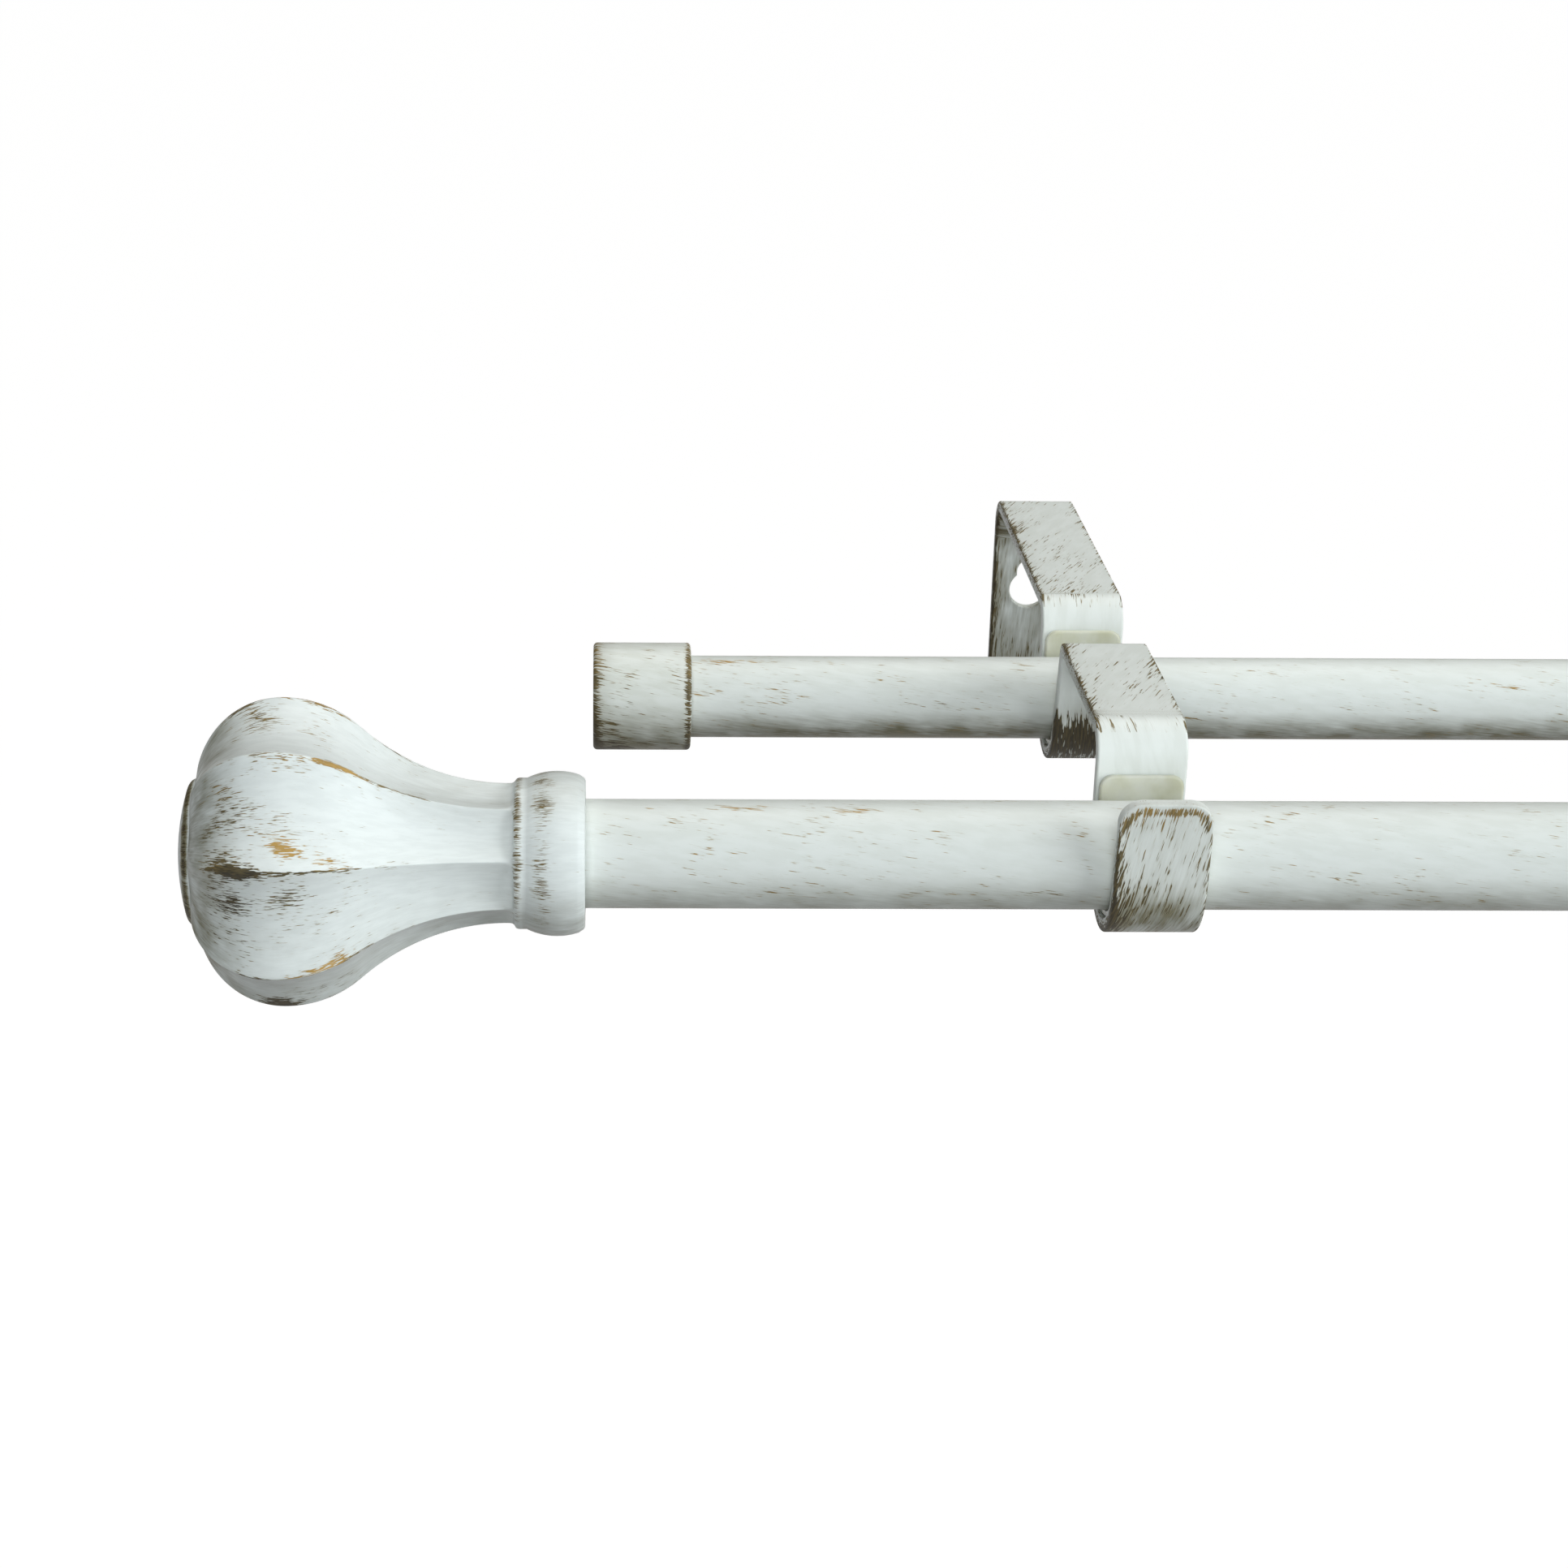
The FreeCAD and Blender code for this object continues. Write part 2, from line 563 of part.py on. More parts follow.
def finial(label, side):
    body = new_body(label)
    blank = revolve(body, finial_outline(body))
    round_edges(body, blank, "collar_edge", lambda edge: edge.BoundBox.XMax < size("collar_edge"))
    flat = extrude(body, "Pocket", flat_outline(body), "3 * bulb_radius", symmetric=True)
    flats = body.newObject("PartDesign::PolarPattern", "finial_flats")
    flats.Originals = [flat]
    flats.Axis = (flat.Profile[0], ["H_Axis"])
    flats.Angle = 360
    bind(flats, "Occurrences", "flute_count")
    body.Tip = flats
    doc.recompute()
    socket = new_sketch(body, "finial_socket", "YZ_Plane")
    centred_circle(socket, "front_tube_radius + socket_gap")
    extrude(body, "Pocket", socket, "socket_depth", reversed_way=True)
    grub_hole = new_sketch(body, "finial_grub_hole", "XY_Plane")
    hole = add_circle(grub_hole, (size("collar_crown"), 0), size("grub_diameter") / 2)
    relate(grub_hole, "PointOnObject", hole, CENTRE, X_AXIS)
    locate(grub_hole, hole, CENTRE, "collar_crown")
    dimension(grub_hole, "Radius", (hole,), "grub_diameter / 2")
    extrude(body, "Pocket", grub_hole, "collar_radius")
    bind(body, "Placement", end_placement(side, "collar_face", "front_projection", "front_axis_height",
                                          "%d * finial_turn" % side))


# Grub screw: headless, pressed against the tube, with a hexagon socket at its outer end
def grub_screw(label, side):
    body = new_body(label)
    shank = new_sketch(body, "grub_shank", "XY_Plane", "-front_tube_radius - grub_gap")
    round_shank = add_circle(shank, (size("collar_crown"), 0), size("grub_diameter") / 2 - size("grub_gap"))
    relate(shank, "PointOnObject", round_shank, CENTRE, X_AXIS)
    locate(shank, round_shank, CENTRE, "collar_crown")
    dimension(shank, "Radius", (round_shank,), "grub_diameter / 2 - grub_gap")
    extrude(body, "Pad", shank, "grub_length", reversed_way=True)
    key = new_sketch(body, "grub_key_socket", "XY_Plane", "-front_tube_radius - grub_gap - grub_length")
    centre, reach = size("collar_crown"), size("grub_key") / math.sqrt(3)
    corners = [(centre + reach * math.cos(math.radians(60 * i)), reach * math.sin(math.radians(60 * i)))
               for i in range(6)]
    sides = [add_line(key, corners[i], corners[(i + 1) % 6]) for i in range(6)]
    rim = add_circle(key, (centre, 0), reach)
    key.toggleConstruction(rim)
    close_loop(key, [(line, END) for line in sides])
    for line in sides:
        relate(key, "PointOnObject", line, START, rim)
    for line in sides[1:]:
        relate(key, "Equal", sides[0], line)
    relate(key, "PointOnObject", sides[0], START, X_AXIS)
    relate(key, "PointOnObject", rim, CENTRE, X_AXIS)
    locate(key, rim, CENTRE, "collar_crown")
    dimension(key, "Radius", (rim,), "grub_key / sqrt(3)")
    extrude(body, "Pocket", key, "grub_key_depth", reversed_way=True)
    bind(body, "Placement", end_placement(side, "collar_face", "front_projection", "front_axis_height",
                                          "%d * finial_turn" % side))


# Cap: short turned cup pushed over the back tube's end
def rod_cap(label, side):
    body = new_body(label)
    blank = new_sketch(body, "cap_blank", "YZ_Plane")
    centred_circle(blank, "cap_diameter / 2")
    solid = extrude(body, "Pad", blank, "cap_length")
    outer = size("cap_diameter") / 2
    round_edges(body, solid, "cap_curve", lambda edge: edge.Length > 5 * outer and edge.isClosed())
    bore = new_sketch(body, "cap_bore", "YZ_Plane")
    centred_circle(bore, "back_tube_radius + cap_gap")
    extrude(body, "Pocket", bore, "cap_length - cap_end", reversed_way=True)
    bind(body, "Placement", end_placement(side, "cap_base", "back_projection", "back_axis_height", "0"))


tube("front_rod", "front_tube_diameter", "front_tube_length", "front_projection", "front_axis_height")
tube("back_rod", "back_tube_diameter", "back_tube_length", "back_projection", "back_axis_height")
for hand, side in (("left", -1), ("right", 1)):
    bracket("bracket_" + hand, side)
    liner("front_liner_" + hand, side, "front", "tab_flare")
    liner("back_liner_" + hand, side, "back", "arm_flare")
    finial("finial_" + hand, side)
    grub_screw("finial_screw_" + hand, side)
    rod_cap("rod_cap_" + hand, side)
doc.recompute()

broken = [item.Name for item in doc.Objects if {"Invalid", "Error"} & set(item.State)]
if broken:
    raise RuntimeError("Not rebuilt: " + ", ".join(broken))
os.makedirs("parts", exist_ok=True)
for body in doc.findObjects("PartDesign::Body"):
    if body.Shape.isNull() or not body.Shape.isValid() or len(body.Shape.Solids) != 1:
        raise RuntimeError("Not one sound solid: " + body.Label)
    body.Shape.exportStep("parts/" + body.Label + ".step")
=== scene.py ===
import math

import bmesh
import bpy
import numpy as np
from mathutils import Matrix, Vector


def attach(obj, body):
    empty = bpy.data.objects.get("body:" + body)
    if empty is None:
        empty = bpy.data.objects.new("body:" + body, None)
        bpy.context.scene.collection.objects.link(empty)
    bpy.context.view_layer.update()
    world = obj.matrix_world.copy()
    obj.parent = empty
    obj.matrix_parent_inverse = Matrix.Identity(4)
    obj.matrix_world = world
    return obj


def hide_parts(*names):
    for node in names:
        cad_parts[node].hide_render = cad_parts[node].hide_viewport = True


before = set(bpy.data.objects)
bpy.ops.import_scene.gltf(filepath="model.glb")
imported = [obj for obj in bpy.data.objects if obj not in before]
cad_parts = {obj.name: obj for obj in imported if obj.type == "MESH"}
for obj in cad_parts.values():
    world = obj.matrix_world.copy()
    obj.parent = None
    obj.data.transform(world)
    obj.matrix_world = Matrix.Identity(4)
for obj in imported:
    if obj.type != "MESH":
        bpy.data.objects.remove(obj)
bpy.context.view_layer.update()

# Brackets: one length of flat steel strip each, punched with a keyhole and a screw hole and rounded at
# both ends, then folded cold into wall plate, arm, back cup, second arm, front cup and tab. Painted after
# folding, so the thin antique-white coat lies over a bronze-brown ground that shows along the edges.
MM = 0.001
HANDS = (("left", -1), ("right", 1))
BRACKET_X = 382.0
FRONT_ROD = {"y": -159.0, "z": 22.0, "r": 9.5, "lean": math.radians(4)}
BACK_ROD = {"y": -87.0, "z": 25.0, "r": 8.0, "lean": math.radians(12)}
LINER, GAP = 1.2, 0.1
STRIP_WIDTH, STRIP, STRIP_EDGE = 16.0, 2.5, 0.4
ARM, FOOT, TAB_TOP = 41.5 - STRIP / 2, -8.5, 37.3
BEND, FOLD = 4.0 + STRIP / 2, 0.8 + STRIP / 2
FOOT_CORNER, TAB_CORNER = 3.0, 4.0
SCREW_HOLE = 2.25
SLOT, SLOT_AT = 2.7, 24.3 - FOOT
MOUTH, MOUTH_AT = 4.2, 20.1 - FOOT
QUARTER = math.pi / 2
WEAR = ("worn", "gold", "glaze_and_shade")


def linear(hex_colour):
    """Linear colour of an sRGB hex value."""
    parts = [int(hex_colour[i:i + 2], 16) / 255 for i in (1, 3, 5)]
    return [p / 12.92 if p <= 0.04045 else ((p + 0.055) / 1.055) ** 2.4 for p in parts] + [1.0]


def node(tree, kind, settings, inputs):
    """Add a shader node with its settings, and its inputs as values or as links from other sockets."""
    made = tree.nodes.new("ShaderNode" + kind)
    for key, value in settings.items():
        setattr(made, key, value)
    for key, value in inputs.items():
        if isinstance(value, bpy.types.NodeSocket):
            tree.links.new(value, made.inputs[key])
        else:
            made.inputs[key].default_value = value
    return made


def antique_white(name, stroke, bare, seed, white, dull):
    """Thin satin alkyd paint, dry-brushed over bronze brown and rubbed back.

    The eye gets a chalky white with fine brown hairs along the brush and umber glaze in the low places;
    the glaze is partly real and partly painted shade on undersides and on faces turned from the lamps.
    stroke is a brush mark's length and width in mm, and bare how high the brush noise has to rise before
    the brown shows. The mesh gives each point its place along the brush (brush, in mm), how far it is
    rubbed (worn), how golden the rubbed ground is (gold), which is partly painted light, and how much
    glaze and painted shade is left on it (glaze_and_shade).
    """
    material = bpy.data.materials.new(name)
    material.use_nodes = True
    tree = material.node_tree
    shader = tree.nodes["Principled BSDF"]
    brush = node(tree, "Attribute", {"attribute_name": "brush"}, {}).outputs["Vector"]
    worn, gold, glaze_and_shade = [node(tree, "Attribute", {"attribute_name": kind}, {}).outputs["Fac"]
                         for kind in WEAR]
    moved = node(tree, "VectorMath", {"operation": "ADD"}, {0: brush, 1: (seed * 37.0, seed * 11.0, 0.0)})

    # Brush strokes, the hairs in them, the patches where they gather, and slow changes of the white
    length, width = stroke
    marks = []
    for long, wide, detail in ((1.0, 1.0, 2.0), (0.6, 0.5, 1.0), (2.2, 14.0, 2.0), (1.5, 4.0, 3.0)):
        cell = (length * long, width * wide, width * wide)
        place = node(tree, "VectorMath", {"operation": "DIVIDE"}, {0: moved.outputs[0], 1: cell})
        mark = node(tree, "TexNoise", {}, {"Vector": place.outputs[0], "Scale": 1.0, "Detail": detail,
                                           "Roughness": 0.55})
        marks.append(mark.outputs["Fac"])
    strokes, hairs, patches, tone = marks

    level = -0.6
    for mark, share in ((strokes, 0.7), (hairs, 0.9), (patches, 0.6), (worn, 0.5)):
        level = node(tree, "Math", {"operation": "MULTIPLY_ADD"}, {0: mark, 1: share, 2: level}).outputs[0]
    smudge = -0.75
    for mark, share in ((strokes, 1.1), (patches, 2.2)):
        smudge = node(tree, "Math", {"operation": "MULTIPLY_ADD"}, {0: mark, 1: share, 2: smudge}).outputs[0]
    glaze_and_shade_mix = node(tree, "Math", {"operation": "MULTIPLY"}, {0: glaze_and_shade, 1: smudge}).outputs[0]
    rubbed, thin, cloudy = [
        node(tree, "MapRange", {"interpolation_type": "SMOOTHSTEP"},
             {"Value": value, "From Min": low, "From Max": high, "To Max": most}).outputs[0]
        for value, low, high, most in ((level, bare, bare + 0.06, 0.98),
                                       (level, bare - 0.11, bare + 0.02, 0.3), (tone, 0.35, 0.65, 1.0))]

    grain = node(tree, "Math", {"operation": "SUBTRACT"}, {0: hairs, 1: 0.5})
    # Painted light and shade: on tubes, finials and caps gold, and so the ground, is lighter on top and
    # darker below.
    golden = node(tree, "Math", {"operation": "MULTIPLY_ADD"}, {0: grain.outputs[0], 1: 1.1, 2: gold})
    ground = node(tree, "ValToRGB", {}, {"Fac": golden.outputs[0]})
    ground.color_ramp.elements[0].color = linear("#2E2718")
    ground.color_ramp.elements[1].color = linear("#B8934F")
    ground.color_ramp.elements.new(0.42).color = linear("#6B5E3D")
    coat = linear(dull)
    # The olive glaze colour is partly real glaze and partly painted shade on undersides and faces turned
    # from the lamps.
    for share, colour in ((cloudy, linear(white)), (glaze_and_shade_mix, linear("#706C55")), (thin, linear("#ADA58A")),
                          (rubbed, ground.outputs[0])):
        coat = node(tree, "Mix", {"data_type": "RGBA"}, {0: share, 6: coat, 7: colour}).outputs[2]
    tree.links.new(coat, shader.inputs["Base Color"])

    shader.inputs["Specular IOR Level"].default_value = 0.28
    gloss = node(tree, "MapRange", {}, {"Value": rubbed, "To Min": 0.46, "To Max": 0.62})
    tree.links.new(gloss.outputs[0], shader.inputs["Roughness"])
    combed = node(tree, "Math", {"operation": "MULTIPLY"}, {0: strokes, 1: 0.15})
    relief = node(tree, "Math", {"operation": "MULTIPLY_ADD"}, {0: rubbed, 1: -1.0, 2: combed.outputs[0]})
    bump = node(tree, "Bump", {}, {"Height": relief.outputs[0], "Strength": 0.3, "Distance": 0.05 * MM})
    tree.links.new(bump.outputs[0], shader.inputs["Normal"])
    return material


def piece(name, mesh, material, slot, *nodes):
    """Put a finished mesh in the scene in place of its solids."""
    mesh.materials.append(material)
    made = bpy.data.objects.new(name, mesh)
    bpy.context.scene.collection.objects.link(made)
    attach(made, "root")
    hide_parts(*nodes)
    return made


def give(mesh, name, kind, values):
    """Store one value or vector per point of a mesh."""
    layer = mesh.attributes.new(name, kind, "POINT")
    field = "vector" if kind == "FLOAT_VECTOR" else "value"
    layer.data.foreach_set(field, np.asarray(values, np.float32).ravel())


def arc(centre, radius, start, end, count):
    """Points along an arc between two angles in degrees."""
    angles = np.radians(np.linspace(start, end, count))
    return [(centre[0] + radius * math.cos(a), centre[1] + radius * math.sin(a)) for a in angles]


def round_ended(length, width, first, last):
    """Outline of a flat strip with rounded corners of two sizes at its ends."""
    half, far = width / 2, length - last
    corners = (((first, first - half), first, 180), ((far, last - half), last, 270),
               ((far, half - last), last, 0), ((first, half - first), first, 90))
    return [point for centre, radius, start in corners
            for point in arc(centre, radius, start, start + 90, 13)]


def blank(outline, holes, thickness, edge):
    """Flat strip with rolled edges, cut to its outline and punched; length along X, width along Y."""
    curve = bpy.data.curves.new("blank", "CURVE")
    curve.dimensions = "2D"
    curve.fill_mode = "BOTH"
    curve.extrude = thickness / 2 - edge
    curve.bevel_depth = edge
    curve.offset = -edge
    curve.bevel_resolution = 2
    for points in [outline] + holes:
        spline = curve.splines.new("POLY")
        spline.points.add(len(points) - 1)
        spline.points.foreach_set("co", np.array([(x, y, 0, 1) for x, y in points]).ravel())
        spline.use_cyclic_u = True
    holder = bpy.data.objects.new("blank", curve)
    flat = bpy.data.meshes.new_from_object(holder)
    bpy.data.objects.remove(holder)
    bpy.data.curves.remove(curve)
    return flat


def onward(point, angle, length, turn):
    """Point reached after a length that turns evenly away from a heading."""
    chord = length if turn == 0 else 2 * length / turn * math.sin(turn / 2)
    return point + chord * np.array([math.cos(angle + turn / 2), math.sin(angle + turn / 2)])


LONGEST_STEP, LARGEST_TURN = 3.0, math.radians(5)


def fold(flat, run, start, heading, x, columns):
    """Fold a flat strip along a run of (length, turn) steps in the plane across the wall.

    start is the first point of the strip's middle, as distance from the wall and height. A turn is in
    radians, positive to the left of the heading, and 0 for a straight stretch.
    """
    shape = bmesh.new()
    shape.from_mesh(flat)
    bmesh.ops.remove_doubles(shape, verts=shape.verts, dist=1e-4)
    steps, at = [], 0.0
    for length, turn in run:
        count = max(1, math.ceil(length / LONGEST_STEP), math.ceil(abs(turn) / LARGEST_TURN))
        steps += [(at + length * i / count, length / count, turn / count) for i in range(count)]
        at += length
    cuts = [(Vector((l, 0, 0)), Vector((1, 0, 0))) for l, _, _ in steps[1:]]
    cuts += [(Vector((0, w, 0)), Vector((0, 1, 0))) for w in columns]
    for place, normal in cuts:
        bmesh.ops.bisect_plane(shape, geom=shape.verts[:] + shape.edges[:] + shape.faces[:], dist=1e-5,
                               plane_co=place, plane_no=normal)
    frames, point, angle = [], np.array(start, float), heading
    for l, length, turn in steps:
        frames.append((l, point, angle, turn / length))
        point = onward(point, angle, length, turn)
        angle += turn
    lengths = np.array([f[0] for f in frames])
    flat_places = np.array([v.co[:] for v in shape.verts])
    for vertex in shape.verts:
        l, w, off = vertex.co
        l0, base, angle, rate = frames[max(0, int(np.searchsorted(lengths, l + 1e-6)) - 1)]
        turned_by = rate * (l - l0)
        middle = onward(base, angle, l - l0, turned_by)
        forward, up = middle + off * np.array([-math.sin(angle + turned_by), math.cos(angle + turned_by)])
        vertex.co = Vector((x + w, -forward, up)) * MM
    for face in shape.faces:
        face.smooth = True
    mesh = bpy.data.meshes.new("strip")
    shape.to_mesh(mesh)
    shape.free()
    return mesh, flat_places


def cup_radius(rod):
    """Radius of the strip's middle round a tube and its liner."""
    return rod["r"] + 2 * GAP + LINER + STRIP / 2


def lean_line(rod, radius, top):
    """Length of the leaning leg from a cup's lip up to a height."""
    return (top - rod["z"] + radius * math.sin(rod["lean"])) / math.cos(rod["lean"])


# The strip's middle line from the plate's foot to the tab's end. The tab's last stretch is cut into fine
# steps, so that the rubbed line along its rounded end stays sharp.
BACK_CUP, FRONT_CUP = cup_radius(BACK_ROD), cup_radius(FRONT_ROD)
back_lean = BACK_ROD["lean"]
peak_height = ARM - FOLD + FOLD * math.sin(back_lean)
back_leg = lean_line(BACK_ROD, BACK_CUP, peak_height)
peak_forward = (-BACK_ROD["y"] + BACK_CUP * math.cos(back_lean) + back_leg * math.sin(back_lean)
                + FOLD * math.cos(back_lean))
FINE_STEPS = 5
bracket_run = [
    (ARM - BEND - FOOT, 0), (BEND * QUARTER, -QUARTER),
    (-BACK_ROD["y"] - BACK_CUP - STRIP / 2 - 2 * BEND, 0), (BEND * QUARTER, -QUARTER),
    (ARM - BEND - BACK_ROD["z"], 0), (BACK_CUP * (math.pi - back_lean), math.pi - back_lean),
    (back_leg, 0), (FOLD * (QUARTER - back_lean), back_lean - QUARTER),
    (-FRONT_ROD["y"] - FRONT_CUP - BEND - peak_forward, 0), (BEND * QUARTER, -QUARTER),
    (ARM - BEND - FRONT_ROD["z"], 0),
    (FRONT_CUP * (math.pi - FRONT_ROD["lean"]), math.pi - FRONT_ROD["lean"]),
    (lean_line(FRONT_ROD, FRONT_CUP, TAB_TOP) - TAB_CORNER, 0),
] + [(TAB_CORNER / FINE_STEPS, 0)] * FINE_STEPS
strip_length = sum(length for length, _ in bracket_run)
joints_at = np.cumsum([length for length, _ in bracket_run])
screw_hole = arc((-FOOT, 0), SCREW_HOLE, 0, 350, 36)
gape = math.degrees(math.asin(SLOT / MOUTH))
keyhole = arc((SLOT_AT, 0), SLOT, -90, 90, 15) + arc((MOUTH_AT, 0), MOUTH, gape, 360 - gape, 31)


def near(value, centre, reach):
    """1 at a centre, falling smoothly to 0 at its reach."""
    return np.clip(1 - ((value - centre) / reach) ** 2, 0, 1) ** 2


def bracket_wear(places):
    """Rubbed edges, brown plate, dark lower back cup and gold tab top; places are on the flat strip."""
    l, w, off = places.T
    plate_end, arm_start, arm_end, cup_start, cup_end, leg_end = [joints_at[i] for i in (0, 1, 2, 4, 5, 6)]
    front_arm_end, front_cup_start, front_cup_end = [joints_at[i] for i in (8, 10, 11)]
    left, right = STRIP_WIDTH / 2 + w, STRIP_WIDTH / 2 - w
    room = off < 0
    corner = 0.3 + 0.7 * np.clip((np.abs(off) - 0.85) / 0.3, 0, 1)
    worn = corner * (0.6 * np.exp(-left / 0.5) + 0.55 * np.exp(-right / 0.4))
    gold = np.full_like(l, 0.3)
    glaze_and_shade = np.zeros_like(l)

    # Arms: rubbed most along the left edge and at the brow of the first bend; the rear walls stay clean
    on_back_arm = np.clip((l - plate_end) / 3, 0, 1) * np.clip((arm_end + 5 - l) / 5, 0, 1)
    on_front_arm = np.clip((l - leg_end) / 2, 0, 1) * np.clip((front_arm_end + 5 - l) / 5, 0, 1)
    arms = ~room * np.where(l < cup_start, on_back_arm, on_front_arm)
    brow = near(l, arm_end - 0.5, 7) * near(w, -2.0, 7)
    worn += arms * (0.1 + 0.36 * np.exp(-left / 2.2) + 0.2 * np.exp(-right / 1.2) + 0.34 * brow)
    glaze_and_shade += arms * 0.25 * np.exp(-left / 2.0)
    clean = ((l > arm_end + 4) & (l < cup_start)) | ((l > front_arm_end + 4) & (l < front_cup_start))
    worn -= np.where(clean, 0.6, 0)

    # Wall plate and the lower half of the back cup: brown, with much glaze left. On the plate the glaze
    # and the darker ground are partly painted shadow of the arm above.
    plate = room & (l < arm_start)
    worn += np.where(plate, 0.2 + 0.4 * np.exp(-left / 2.5), 0)
    glaze_and_shade += np.where(plate, 0.52 + 0.45 * np.exp(-left / 4.0), 0)
    gold -= np.where(plate, 0.2, 0)
    dark_cup = room & (l > cup_start + 12) & (l < leg_end)
    worn += np.where(dark_cup, np.clip((cup_end + 5 - l) / 4, -0.5, 0.95), 0)
    worn -= np.where(dark_cup, 0.3 * np.clip((cup_end - 3 - l) / 5, 0, 1), 0)
    glaze_and_shade += np.where(dark_cup, 0.5 * near(l, cup_end, 9), 0)
    gold -= np.where(dark_cup, 0.28, 0)

    # Tab: rubbed at its sides, more so lower down, and along a line just inside its rounded end
    tab = room & (l > front_cup_start + 15)
    low = np.clip((strip_length - TAB_CORNER - l) / 18, 0, 1)
    sides = (0.3 + 0.45 * low) * np.exp(-left / 2.2) + 0.3 * low * np.exp(-right / 1.0)
    worn += np.where(tab, 0.27 + sides, 0)
    to_side = np.clip(TAB_CORNER - np.minimum(left, right), 0, None)
    to_end = np.clip(l - strip_length + TAB_CORNER, 0, None)
    inside = TAB_CORNER - np.hypot(to_side, to_end)
    end_line = 0.55 * near(inside, 1.3, 1.1) - 0.3 * near(inside, 0, 0.7)
    worn += np.where(tab & (l > strip_length - 6), end_line, 0)
    gold += np.where(tab, 0.3 * near(l, strip_length, 5) - 0.25 * low, 0)
    # Olive glaze over the tab; the heavy band low down, where it turns into the front cup, is painted shade.
    glaze_and_shade += np.where(tab, 0.22 + 0.8 * near(l, front_cup_end - 9, 13), 0)
    return worn, gold, glaze_and_shade


def bracket_brush(places):
    """Places along the brush, which lies across the arms one way and across the tab the other way."""
    l, w, off = places.T
    plate_end, arm_end, leg_end, front_arm_end = [joints_at[i] for i in (0, 2, 6, 8)]
    lean = np.radians(np.select([l < plate_end, l < arm_end, l < leg_end, l < front_arm_end],
                                [4.0, -27.0, -4.0, -27.0], 12.0))
    return np.stack([l * np.cos(lean) + w * np.sin(lean), w * np.cos(lean) - l * np.sin(lean), off], 1)


# Cuts along the strip, closest at its edges, where the paint changes most
STRIP_COLUMNS = (-7.5, -7.0, -6.0, -4.0, 0.0, 4.0, 6.0, 7.0, 7.5)
FLAT_FACES = 90
for hand, side in HANDS:
    strip_outline = round_ended(strip_length, STRIP_WIDTH, FOOT_CORNER, TAB_CORNER)
    flat = blank(strip_outline, [screw_hole, keyhole], STRIP, STRIP_EDGE)
    mesh, places = fold(flat, bracket_run, (STRIP / 2, FOOT), QUARTER, side * BRACKET_X, STRIP_COLUMNS)
    give(mesh, "brush", "FLOAT_VECTOR", bracket_brush(places))
    for kind, values in zip(WEAR, bracket_wear(places)):
        give(mesh, kind, "FLOAT", values)
    paint = antique_white("antique_white_on_strip_" + hand, (4.6, 0.46), 0.775, 3 + side,
                          "#EAEEEB", "#E4E8E4")
    made = piece("bracket_strip_" + hand, mesh, paint, "painted_steel", "bracket_" + hand)
    made.modifiers.new("flat faces", "WEIGHTED_NORMAL").weight = FLAT_FACES

# Liners: a moulded saddle of milky polyethylene in each cup, whose rear leg stands up behind its tube.
# Pushed in by hand; its corners are rounded and its surface is matt from the mould.
LINER_WIDTH, LINER_EDGE = 15.0, 0.5
REAR_LEG, FRONT_LEG = 11.0, 7.0
REAR_CORNER, FRONT_CORNER = 2.4, 1.5
# Cloudy cream that lets light a little way in, so its edges look soft. The mould's grain is drawn coarser
# than it is, so that it shows.
CLOUD, GRAIN = 5.0, 0.4
milky = bpy.data.materials.new("milky_polyethylene")
milky.use_nodes = True
tree = milky.node_tree
shader = tree.nodes["Principled BSDF"]
place = node(tree, "TexCoord", {}, {}).outputs["Object"]
cloud = node(tree, "TexNoise", {}, {"Vector": place, "Scale": 1 / (CLOUD * MM), "Detail": 3.0})
tint = node(tree, "ValToRGB", {}, {"Fac": cloud.outputs["Fac"]})
for stop, position, colour in zip(tint.color_ramp.elements, (0.35, 0.65), ("#C9C9B4", "#DBDCD0")):
    stop.position = position
    stop.color = linear(colour)
tree.links.new(tint.outputs[0], shader.inputs["Base Color"])
shader.inputs["Roughness"].default_value = 0.36
shader.inputs["IOR"].default_value = 1.51
shader.inputs["Subsurface Weight"].default_value = 0.6
shader.inputs["Subsurface Radius"].default_value = (1.0, 1.0, 0.8)
shader.inputs["Subsurface Scale"].default_value = 1.5 * MM
grain = node(tree, "TexNoise", {}, {"Vector": place, "Scale": 1 / (GRAIN * MM), "Detail": 2.0})
matt = node(tree, "Bump", {}, {"Height": grain.outputs["Fac"], "Strength": 0.15, "Distance": 0.03 * MM})
tree.links.new(matt.outputs[0], shader.inputs["Normal"])

for rod_name, rod in (("front", FRONT_ROD), ("back", BACK_ROD)):
    saddle = rod["r"] + GAP + LINER / 2
    liner_run = [(REAR_LEG, 0), (saddle * (math.pi - rod["lean"]), math.pi - rod["lean"]),
                 (lean_line(rod, saddle, rod["z"] + FRONT_LEG), 0)]
    liner_length = sum(length for length, _ in liner_run)
    top_of_leg = (-rod["y"] - saddle, rod["z"] + REAR_LEG)
    for hand, side in HANDS:
        liner_outline = round_ended(liner_length, LINER_WIDTH, REAR_CORNER, FRONT_CORNER)
        flat = blank(liner_outline, [], LINER, LINER_EDGE)
        mesh, _ = fold(flat, liner_run, top_of_leg, -QUARTER, side * BRACKET_X, ())
        name = "%s_liner_%s" % (rod_name, hand)
        made = piece(name + "_saddle", mesh, milky, "liner_plastic", name)
        made.modifiers.new("flat faces", "WEIGHTED_NORMAL").weight = FLAT_FACES

# Tubes: cold-drawn welded steel tube, cut square and deburred, 19 mm in front and 16 mm behind.
# The paint is wiped on with a slightly slanted stroke, which leaves sparse brown dashes round the tube.
TUBE_WALL, BURR, TUBE_STEP = 1.0, 0.25, 4.0
TURNED_POINTS = 96
LID = 0.25


